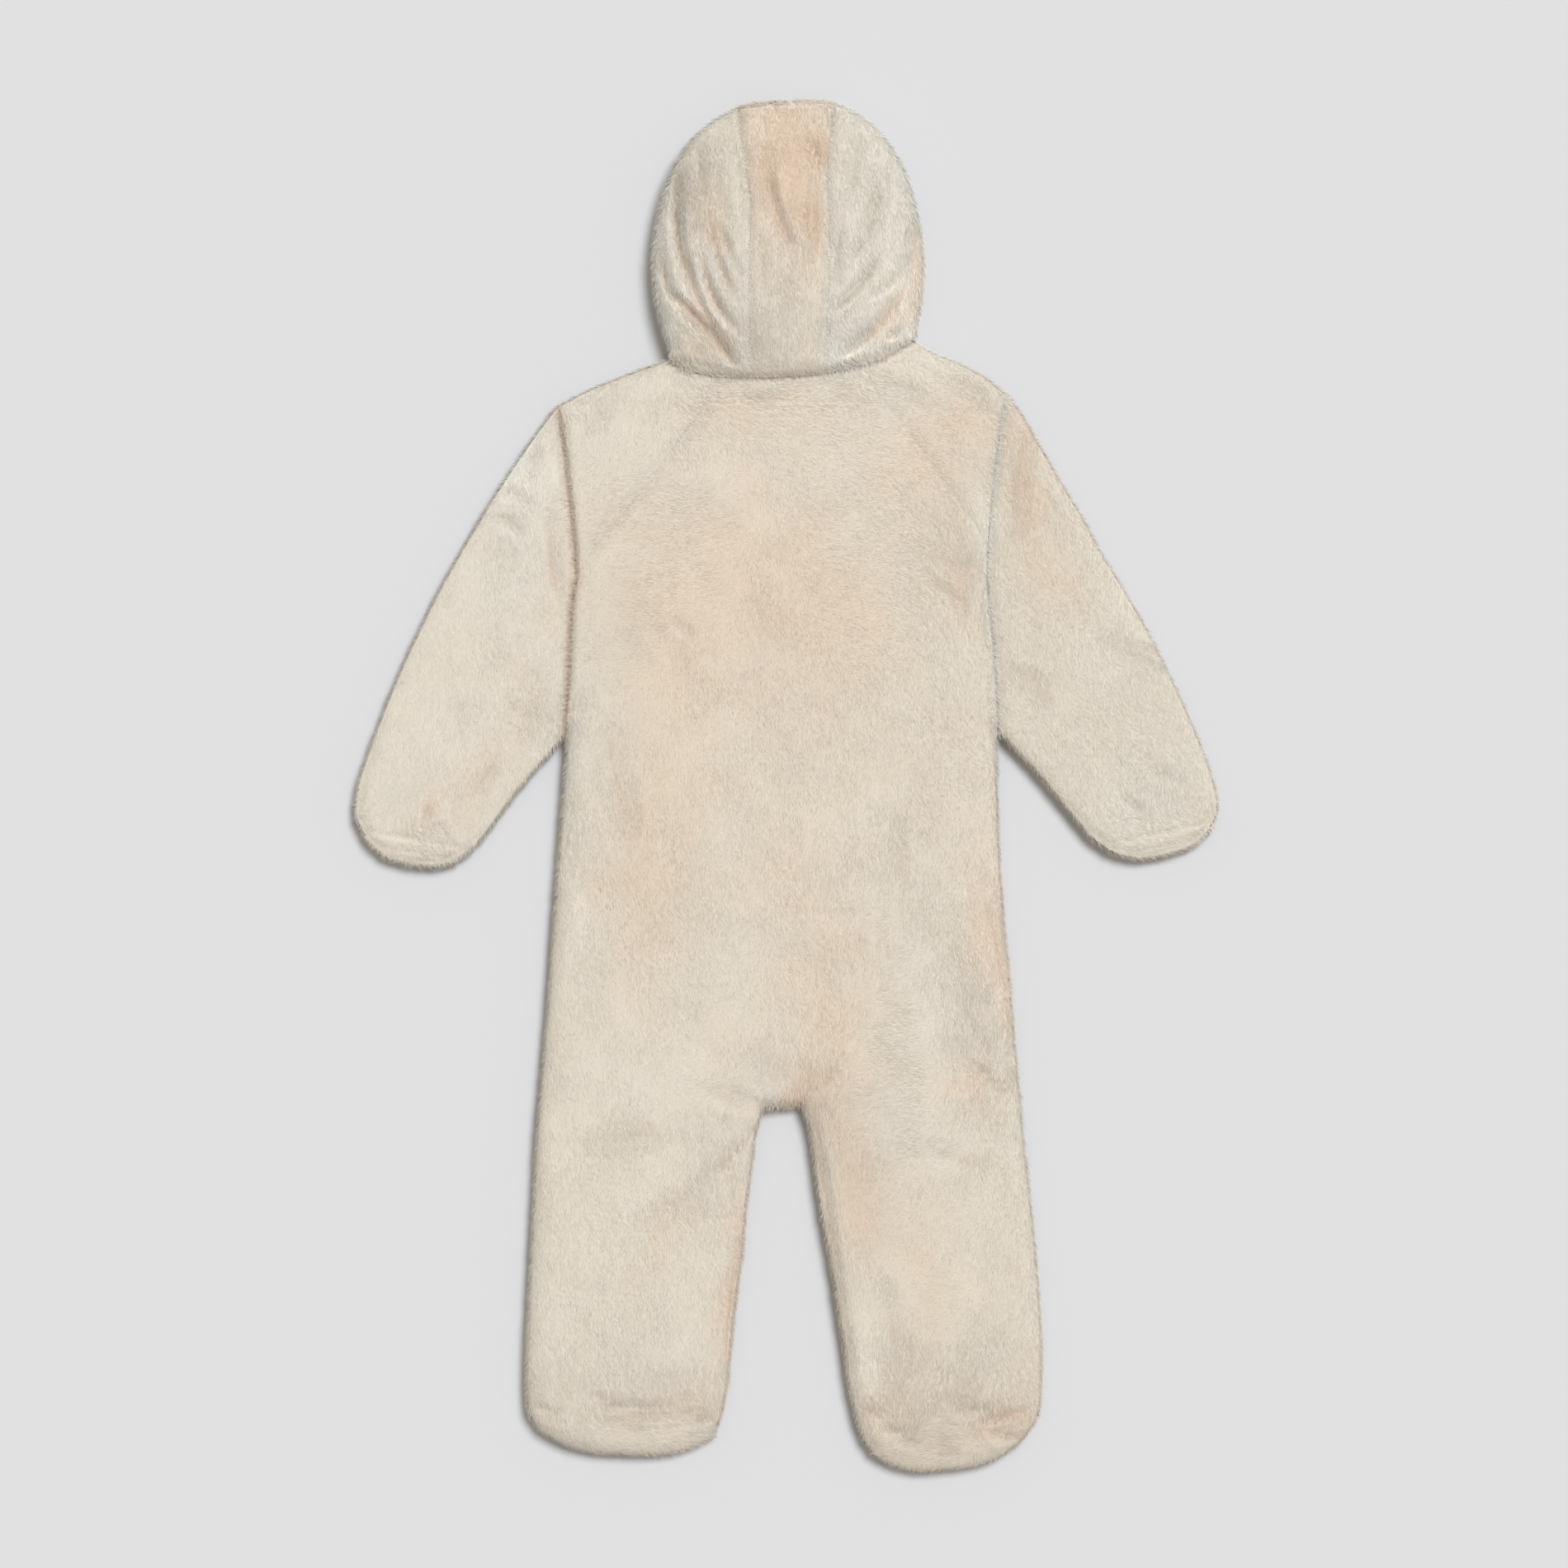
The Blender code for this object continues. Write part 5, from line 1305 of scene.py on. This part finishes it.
class Pile:
    """Strands on one shell: root, tip, width direction, the cloth's normal, and their tone."""

    def __init__(self, shell, seed, lean):
        rng = np.random.default_rng(seed)
        corners = shell.points[shell.triangles]
        cross = np.cross(corners[:, 1] - corners[:, 0], corners[:, 2] - corners[:, 0])
        area = np.linalg.norm(cross, axis=1) / 2
        face_z = cross[:, 2] / np.maximum(2 * area, 1e-9)
        low = np.clip((-0.15 - face_z) / 0.35, 0, 1)
        hidden = (corners[:, :, 2].mean(1) < 1.3) & (face_z < -0.9)
        per = TOP_PILE + (UNDER_PILE - TOP_PILE) * low
        wanted = area * np.where(hidden, UNDER_PILE, per)
        total = np.cumsum(wanted)
        count = int(total[-1])
        pick = (np.arange(count) + rng.uniform(0, 1, count)) / count * total[-1]
        face = np.searchsorted(total, pick).clip(0, len(area) - 1)
        step = np.arange(count)[None] * np.array([[0.7548776662], [0.5698402910]])
        a, b = (0.5 + step + rng.uniform(-0.05, 0.05, (2, count))) % 1.0
        fold = a + b > 1
        a[fold], b[fold] = 1 - a[fold], 1 - b[fold]
        weights = np.stack([1 - a - b, a, b], 1)
        index = shell.triangles[face]
        root = (shell.points[index] * weights[:, :, None]).sum(1)
        normal = (shell.normals[index] * weights[:, :, None]).sum(1)
        normal /= np.maximum(np.linalg.norm(normal, axis=1), 1e-9)[:, None]
        below = low[face] > 0.5
        flat = root[:, :2]
        seeds, mark = clump_of(flat, 3.1, 101)
        wide_seeds, wide_mark = clump_of(flat, 8.5, 102)
        tables = np.random.default_rng(103).uniform(-1, 1, (4, 4096))

        lie, share = lie_at(flat)
        angle = np.radians(lie * share + lean * (1 - share))
        angle = angle + math.radians(PILE_TURN) * noise(seeds, 22.0, 21)
        angle += math.radians(PILE_TURN * 0.35) * noise(flat, 7.0, 22)
        angle += math.radians(CLUMP_TURN) * (tables[0][mark] + 0.5 * tables[0][wide_mark])
        seam, crossing = np.full(count, 6.0), np.zeros(count)
        for line, width, much in () if shell.name.startswith("front") else crossed:
            off = near(flat, line, 6.0)
            seam = np.minimum(seam, off)
            crossing = np.maximum(crossing, much * (np.exp(-((off / width) ** 2)) - np.exp(-((6 / width) ** 2))))
        angle += np.radians(rng.normal(0, 8, count) + rng.normal(0, 60, count) * crossing)
        flow = np.stack([np.sin(angle), -np.cos(angle), np.zeros(count)], 1)
        steep = np.clip((0.75 - np.abs(normal[:, 2])) / 0.5, 0, 1)
        # Where the pile would run uphill to an edge, it turns along the edge instead, and down the garment
        uphill = np.clip(-(flow[:, :2] * normal[:, :2]).sum(1) / 0.35, 0, 1) * (normal[:, 2] > -0.3)
        uphill *= np.clip(2.5 * steep, 0, 1)
        along_edge = np.stack([-normal[:, 1], normal[:, 0]], 1)
        along_edge /= np.maximum(np.linalg.norm(along_edge, axis=1), 1e-6)[:, None]
        outward = np.sign(flat[:, 0] + 26.0 * noise(flat, 9.0, 41))
        along_edge *= np.where(along_edge[:, 1] - 0.15 * along_edge[:, 0] * outward > 0, -1, 1)[:, None]
        flow[:, :2] += (along_edge - flow[:, :2]) * uphill[:, None]
        flow[:, 2] -= 0.7 * steep * np.where(normal[:, 2] > -0.3, 0.55, -0.3)
        flow -= (flow * normal).sum(1)[:, None] * normal
        flow /= np.maximum(np.linalg.norm(flow, axis=1), 1e-6)[:, None]

        rough = 0.1 + 0.6 * ovals(flat, ROUGH) + 0.05 * noise(flat, 15.0, 31) + 0.8 * (1 - normal[:, 2])
        rough += 0.6 * crossing
        rough = np.clip(rough, 0, 1)
        slant = np.radians(PILE_SLANT + PILE_RISE * rough + PILE_SLANT_SPREAD * rng.normal(0, 1, count))
        slant += np.radians(EDGE_RISE) * steep * rng.uniform(0.3, 1.0, count)
        slant = np.where(below, np.radians(12), slant)
        length = PILE_LONG * (1 + 0.08 * tables[2][mark] + rng.normal(0, 0.13, count))
        length *= 1 + 0.75 * rough
        length *= length_at(flat, beside_zip if shell.name.startswith("front") else short_lines)
        length = np.where(below, 5.0, length)
        direction = flow * np.cos(slant)[:, None] + normal * np.sin(slant)[:, None]
        root = root - normal * 0.25
        tip = root + direction * length[:, None]
        pull = (seeds - flat) * (PILE_CLUMP * (0.3 + rough))[:, None] + (wide_seeds - flat) * 0.05
        far = np.linalg.norm(pull, axis=1)
        pull *= (np.minimum(far, 2.4) / np.maximum(far, 1e-9))[:, None]
        tip[:, :2] += pull * np.where(np.abs(normal[:, 2:3]) > 0.35, 1.0, 0.5)
        if shell.top:
            on = "hood" if "hood" in shell.name else "arm" if "sleeve" in shell.name else "body"
            dipped = (pressed(flat, on) > 0.1) | (seam < 6) | (pressed(flat, "body") > 0.1)
            dipped = np.flatnonzero(dipped & (normal[:, 2] > 0.3))
            cloth = shell.top(tip[dipped, :2]) - (PILE_OVER - 0.5) * normal[dipped, 2]
            tip[dipped, 2] = np.maximum(tip[dipped, 2], np.minimum(cloth, tip[dipped, 2] + 3))
        tip[:, 2] = np.maximum(tip[:, 2], 0.15)
        root[:, 2] = np.maximum(root[:, 2], 0.3)

        self.root, self.tip, self.normal, self.below, self.steep = root, tip, normal, below, steep
        across_way = np.cross(tip - root, normal)
        across_way /= np.maximum(np.linalg.norm(across_way, axis=1), 1e-9)[:, None]
        along = tip - root
        along /= np.maximum(np.linalg.norm(along, axis=1), 1e-9)[:, None]
        self.side = turned(across_way, along, np.radians(rng.uniform(-25, 25, count)))
        self.width = np.where(below, 1.7, PILE_WIDE * (1 + rng.uniform(-0.2, 0.2, count)))
        self.tone = 0.5 + CLUMP_TONE * tables[3][mark] + PILE_TONE * rng.uniform(-1, 1, count)
        # painted light: where the pile stands up it is made paler, to offset the shadows its strands cast on each other
        self.tone += ROUGH_PAINTED_LIGHT * rough
        # the peach tint, with painted warm shade in creases and folds and a painted highlight along one fold
        self.warm = peach_with_painted_shade_and_highlight(flat, shell.name)
        # painted shade and painted light at each strand's root and tip
        self.dim = shade_light_painted_at(flat, shell.name)
        self.tip_shade_light_paint = shade_light_painted_at(tip[:, :2], shell.name)
        self.level = np.sin(angle) ** 2
        self.noise = rng.normal(0, 1, (count, 3))

    def split(self, keep):
        part = object.__new__(Pile)
        for key, value in self.__dict__.items():
            setattr(part, key, value[keep])
        return part

    def piece(self, name):
        """The strands as one mesh, each a thin triangle from its root to its tip."""
        count = len(self.root)
        offset = self.side * (self.width / 2)[:, None]
        points = np.stack([self.root - offset, self.root + offset, self.tip], 1)
        own = np.cross(points[:, 1] - points[:, 0], points[:, 2] - points[:, 0])
        flip = (own * self.normal).sum(1) < 0
        points[flip] = points[flip][:, [1, 0, 2]]
        own[flip] *= -1
        own /= np.maximum(np.linalg.norm(own, axis=1), 1e-9)[:, None]
        shown = (1 - PILE_OWN) * self.normal + PILE_OWN * own + 0.05 * self.noise
        shown[:, 2] += (PILE_LIFT + EDGE_LIFT * self.steep) * (self.normal[:, 2] > -0.2)
        shown /= np.maximum(np.linalg.norm(shown, axis=1), 1e-9)[:, None]
        mesh = bpy.data.meshes.new(name)
        mesh.vertices.add(count * 3)
        mesh.loops.add(count * 3)
        mesh.polygons.add(count)
        mesh.vertices.foreach_set("co", (points.reshape(-1, 3) * MM).astype(np.float32).ravel())
        mesh.loops.foreach_set("vertex_index", np.arange(count * 3, dtype=np.int32))
        mesh.polygons.foreach_set("loop_start", np.arange(count, dtype=np.int32) * 3)
        mesh.polygons.foreach_set("loop_total", np.full(count, 3, np.int32))
        mesh.update(calc_edges=True)
        mesh.shade_smooth()
        mesh.normals_split_custom_set_from_vertices(np.repeat(shown, 3, axis=0).astype(np.float32))
        store(mesh, "warm", np.repeat(self.warm, 3))
        # painted shade and painted light, at the root and at the tip
        store(mesh, "dim", np.stack([self.dim, self.dim, self.tip_shade_light_paint], 1).ravel())
        store(mesh, "level", np.repeat(self.level, 3))
        # painted shade at each strand's root and painted light at its tip
        tone = np.stack([self.tone * 0.8, self.tone * 0.8, self.tone * 1.2], 1)
        store(mesh, "shade", tone.ravel())
        map_flat(mesh, points.reshape(-1, 3))
        made = bpy.data.objects.new(name, mesh)
        bpy.context.scene.collection.objects.link(made)
        mesh.materials.append(fleece)
        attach(made, "suit")
        return made


TOP_PILE = 2.05
UNDER_PILE = 0.3
PILE_LONG = 3.2
PILE_WIDE = 0.42
PILE_SLANT = 8.0
PILE_RISE = 13.0
PILE_SLANT_SPREAD = 2.0
PILE_CLUMP = 0.22
PILE_TURN = 34.0
CLUMP_TURN = 9.0
CLUMP_TONE = 0.05
PILE_TONE = 0.5
# painted light on raised pile, against the strands' own shadows
ROUGH_PAINTED_LIGHT = 1.3
PILE_OWN = 0.2
PILE_LIFT = 0.45
EDGE_RISE = 20.0
EDGE_LIFT = 0.8


# ---------------------------------------------------------------- materials


def material(name):
    made = bpy.data.materials.new(name)
    made.use_nodes = True
    return made, made.node_tree.nodes, made.node_tree.links


fleece, nodes, links = material("plush_fleece")
shader = nodes["Principled BSDF"]
shader.inputs["Roughness"].default_value = 0.95
shader.inputs["Specular IOR Level"].default_value = 0.15
shader.inputs["Sheen Weight"].default_value = 0.35
shader.inputs["Sheen Roughness"].default_value = 0.6
shader.inputs["Sheen Tint"].default_value = (1.0, 0.97, 0.93, 1.0)
warm = nodes.new("ShaderNodeAttribute")
warm.attribute_name = "warm"
# shade holds each strand's own tone, with painted shade at its root, painted light at its tip and on raised pile, and
# painted shade on the cloth beneath
shade = nodes.new("ShaderNodeAttribute")
shade.attribute_name = "shade"
tints = nodes.new("ShaderNodeValToRGB")
tints.color_ramp.elements[0].color = PALE
tints.color_ramp.elements[1].color = PEACH
middle = tints.color_ramp.elements.new(0.42)
middle.color = CREAM
links.new(warm.outputs["Fac"], tints.inputs["Fac"])
place = nodes.new("ShaderNodeTexCoord")
flat_place = nodes.new("ShaderNodeMapping")
flat_place.inputs["Scale"].default_value = (1.0, 1.0, 0.0)
links.new(place.outputs["Object"], flat_place.inputs["Vector"])
mottle = nodes.new("ShaderNodeTexNoise")
mottle.inputs["Scale"].default_value = 26.0
mottle.inputs["Detail"].default_value = 1.0
links.new(flat_place.outputs["Vector"], mottle.inputs["Vector"])
add = nodes.new("ShaderNodeMath")
add.operation = "ADD"
links.new(shade.outputs["Fac"], add.inputs[0])
links.new(mottle.outputs["Fac"], add.inputs[1])
# The tone brightens or darkens the colour by the shade value, painted shade and light included, and by a soft mottle
tone = nodes.new("ShaderNodeMapRange")
tone.inputs["From Min"].default_value = 0.4
tone.inputs["From Max"].default_value = 3.4
tone.inputs["To Min"].default_value = 0.96
tone.inputs["To Max"].default_value = 1.135
links.new(add.outputs["Value"], tone.inputs["Value"])
# Painted shade and painted light: the colour is darkened by the stored amount, more in blue than in red, and made paler
# where the amount is negative
dim = nodes.new("ShaderNodeAttribute")
dim.attribute_name = "dim"
painted_shade_tint = nodes.new("ShaderNodeVectorMath")
painted_shade_tint.operation = "SCALE"
painted_shade_tint.inputs[0].default_value = PAINTED_SHADE_TINT
links.new(dim.outputs["Fac"], painted_shade_tint.inputs["Scale"])
with_painted_shade = nodes.new("ShaderNodeVectorMath")
with_painted_shade.operation = "SUBTRACT"
links.new(tone.outputs["Result"], with_painted_shade.inputs[0])
links.new(painted_shade_tint.outputs["Vector"], with_painted_shade.inputs[1])
scaled = nodes.new("ShaderNodeVectorMath")
scaled.operation = "MULTIPLY"
# Painted shade: the lower the shade value, the more the colour takes the warm root tint
depth = nodes.new("ShaderNodeMapRange")
depth.inputs["From Min"].default_value = 0.0
depth.inputs["From Max"].default_value = 0.9
depth.inputs["To Min"].default_value = 1.0
depth.inputs["To Max"].default_value = 0.0
links.new(shade.outputs["Fac"], depth.inputs["Value"])
with_root_shade = nodes.new("ShaderNodeMix")
with_root_shade.data_type = "RGBA"
with_root_shade.blend_type = "MULTIPLY"
with_root_shade.inputs["B"].default_value = ROOT_SHADE_TINT
links.new(depth.outputs["Result"], with_root_shade.inputs["Factor"])
links.new(tints.outputs["Color"], with_root_shade.inputs["A"])
links.new(with_root_shade.outputs["Result"], scaled.inputs[0])
links.new(with_painted_shade.outputs["Vector"], scaled.inputs[1])
links.new(scaled.outputs["Vector"], shader.inputs["Base Color"])

# The finest fibres are a bump, drawn out along the pile and wavy
bend = nodes.new("ShaderNodeTexNoise")
bend.inputs["Scale"].default_value = 120.0
bend.inputs["Detail"].default_value = 1.0
links.new(flat_place.outputs["Vector"], bend.inputs["Vector"])
centred = nodes.new("ShaderNodeVectorMath")
centred.operation = "SUBTRACT"
centred.inputs[1].default_value = (0.5, 0.5, 0.5)
links.new(bend.outputs["Color"], centred.inputs[0])
sway = nodes.new("ShaderNodeVectorMath")
sway.operation = "SCALE"
sway.inputs["Scale"].default_value = 0.006
links.new(centred.outputs["Vector"], sway.inputs["Vector"])
swayed = nodes.new("ShaderNodeVectorMath")
swayed.operation = "ADD"
links.new(flat_place.outputs["Vector"], swayed.inputs[0])
links.new(sway.outputs["Vector"], swayed.inputs[1])
drawn = nodes.new("ShaderNodeMapping")
drawn.inputs["Scale"].default_value = (1.0, FIBRE_STRETCH, 0.0)
links.new(swayed.outputs["Vector"], drawn.inputs["Vector"])
fibres = nodes.new("ShaderNodeTexNoise")
fibres.inputs["Scale"].default_value = FIBRE_SCALE
fibres.inputs["Detail"].default_value = 2.0
fibres.inputs["Roughness"].default_value = 0.55
links.new(drawn.outputs["Vector"], fibres.inputs["Vector"])
level = nodes.new("ShaderNodeAttribute")
level.attribute_name = "level"
drawn_across = nodes.new("ShaderNodeMapping")
drawn_across.inputs["Scale"].default_value = (FIBRE_STRETCH, 1.0, 0.0)
links.new(swayed.outputs["Vector"], drawn_across.inputs["Vector"])
fibres_across = nodes.new("ShaderNodeTexNoise")
fibres_across.inputs["Scale"].default_value = FIBRE_SCALE
fibres_across.inputs["Detail"].default_value = 2.0
fibres_across.inputs["Roughness"].default_value = 0.55
links.new(drawn_across.outputs["Vector"], fibres_across.inputs["Vector"])
either = nodes.new("ShaderNodeMix")
links.new(level.outputs["Fac"], either.inputs["Factor"])
links.new(fibres.outputs["Fac"], either.inputs["A"])
links.new(fibres_across.outputs["Fac"], either.inputs["B"])
bump = nodes.new("ShaderNodeBump")
bump.inputs["Strength"].default_value = 1.0
bump.inputs["Distance"].default_value = FIBRE_HIGH
links.new(either.outputs["Result"], bump.inputs["Height"])
links.new(bump.outputs["Normal"], shader.inputs["Normal"])

woven, nodes, links = material("zip_tape_cloth")
shader = nodes["Principled BSDF"]
shader.inputs["Base Color"].default_value = (0.690, 0.600, 0.490, 1.0)
shader.inputs["Roughness"].default_value = 0.85
shader.inputs["Sheen Weight"].default_value = 0.15
place = nodes.new("ShaderNodeTexCoord")
weave = nodes.new("ShaderNodeTexWave")
weave.bands_direction = "DIAGONAL"
weave.inputs["Scale"].default_value = 260.0
links.new(place.outputs["Object"], weave.inputs["Vector"])
bump = nodes.new("ShaderNodeBump")
bump.inputs["Strength"].default_value = 0.4
bump.inputs["Distance"].default_value = 0.0002
links.new(weave.outputs["Fac"], bump.inputs["Height"])
links.new(bump.outputs["Normal"], shader.inputs["Normal"])

metal, nodes, links = material("zip_metal")
shader = nodes["Principled BSDF"]
shader.inputs["Base Color"].default_value = (0.78, 0.76, 0.72, 1.0)
shader.inputs["Metallic"].default_value = 1.0
place = nodes.new("ShaderNodeTexCoord")
wear = nodes.new("ShaderNodeTexNoise")
wear.inputs["Scale"].default_value = 400.0
links.new(place.outputs["Object"], wear.inputs["Vector"])
spread = nodes.new("ShaderNodeMapRange")
spread.inputs["To Min"].default_value = 0.24
spread.inputs["To Max"].default_value = 0.42
links.new(wear.outputs["Fac"], spread.inputs["Value"])
links.new(spread.outputs["Result"], shader.inputs["Roughness"])

for shell in shells.values():
    shell.object.data.materials.append(fleece)

LEAN = {"sleeve_left": -27.0, "sleeve_right": 27.0}
piles = {
    name: Pile(shell, 500 + k, LEAN.get(name, 0.0)) for k, (name, shell) in enumerate(shells.items())
}
for name, pile in piles.items():
    if name == "back":
        y = pile.root[:, 1]
        bands = {"back_upper": y > 52.0, "back_lower": (y <= 52.0) & (y > -152.0), "legs": y <= -152.0}
        [pile.split(keep).piece("fur_" + band) for band, keep in bands.items()]
    else:
        pile.piece("fur_" + name)


# ---------------------------------------------------------------- zip


def boxes(lows, highs):
    """A mesh's points and faces for boxes between opposite corners."""
    lows, highs = np.asarray(lows, float), np.asarray(highs, float)
    pick = np.array([[i & 1, i >> 1 & 1, i >> 2 & 1] for i in range(8)])
    points = np.where(pick[None], highs[:, None], lows[:, None])
    sides = np.array([[0, 2, 3, 1], [4, 5, 7, 6], [0, 1, 5, 4], [2, 6, 7, 3], [0, 4, 6, 2], [1, 3, 7, 5]])
    faces = (np.arange(len(lows)) * 8)[:, None, None] + sides
    return points.reshape(-1, 3), faces.reshape(-1, 4)


pitch = 1.0
teeth = np.arange(ZIP_END_Y + 2.0, 243.0, pitch)
across_zip = np.where(np.arange(len(teeth)) % 2 == 0, -0.55, 0.55)
lows = np.stack([across_zip - 1.65, teeth - 0.36, np.full(len(teeth), 3.3)], 1)
highs = np.stack([across_zip + 1.65, teeth + 0.36, np.full(len(teeth), 4.75)], 1)
stop_low = [[-2.4, ZIP_END_Y - 2.4, 3.1]]
stop_high = [[2.4, ZIP_END_Y + 0.8, 4.75]]
points, faces = boxes(np.concatenate([lows, stop_low]), np.concatenate([highs, stop_high]))
teeth_mesh = bpy.data.meshes.new("zip_teeth")
teeth_mesh.from_pydata((points * MM).tolist(), [], faces.tolist())
teeth_mesh.update()
teeth_mesh.materials.append(metal)
zip_teeth = bpy.data.objects.new("zip_teeth", teeth_mesh)
bpy.context.scene.collection.objects.link(zip_teeth)
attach(zip_teeth, "suit")

for name, finish, slot in (
    ("zip_tape", woven, "tape"),
    ("zip_slider", metal, "metal"),
    ("zip_pull", metal, "metal"),
):
    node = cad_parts[name]
    node.data.materials.clear()
    node.data.materials.append(finish)
    if finish is metal:
        soften = node.modifiers.new("soft_edges", "BEVEL")
        soften.width = 0.15 * MM
        soften.segments = 2
        soften.limit_method = "ANGLE"


# ---------------------------------------------------------------- floor, light and camera

floor_mesh = bpy.data.meshes.new("floor")
reach = 3.0
floor_mesh.from_pydata(
    [(-reach, -reach, -0.0002), (reach, -reach, -0.0002), (reach, reach, -0.0002), (-reach, reach, -0.0002)],
    [],
    [(0, 1, 2, 3)],
)
paper, nodes, links = material("paper")
shader = nodes["Principled BSDF"]
shader.inputs["Base Color"].default_value = FLOOR_COLOUR
shader.inputs["Roughness"].default_value = 0.9
shader.inputs["Specular IOR Level"].default_value = 0.2
floor_mesh.materials.append(paper)
floor = bpy.data.objects.new("floor", floor_mesh)
bpy.context.scene.collection.objects.link(floor)

sun_data = bpy.data.lights.new("window", "SUN")
sun_data.energy = SUN
sun_data.angle = SUN_WIDTH
sun_data.color = (0.955, 0.993, 1.05)
sun = bpy.data.objects.new("window", sun_data)
toward = Vector((SUN_FROM[0], SUN_FROM[1], SUN_FROM[2])).normalized()
sun.rotation_euler = toward.to_track_quat("Z", "Y").to_euler()
bpy.context.scene.collection.objects.link(sun)

world = bpy.data.worlds.new("studio")
world.use_nodes = True
world.node_tree.nodes["Background"].inputs["Color"].default_value = (1.065, 0.985, 0.885, 1.0)
world.node_tree.nodes["Background"].inputs["Strength"].default_value = SKY
bpy.context.scene.world = world
bpy.context.scene.view_settings.view_transform = "Standard"

camera_data = bpy.data.cameras.new("camera")
camera_data.sensor_width = 36.0
camera_data.lens = 36.0 * 2.5 / 1.045
camera_data.clip_end = 20.0
camera = bpy.data.objects.new("camera", camera_data)
camera.location = (-0.00165, 0.0011, 2.51)
bpy.context.scene.collection.objects.link(camera)
bpy.context.scene.camera = camera
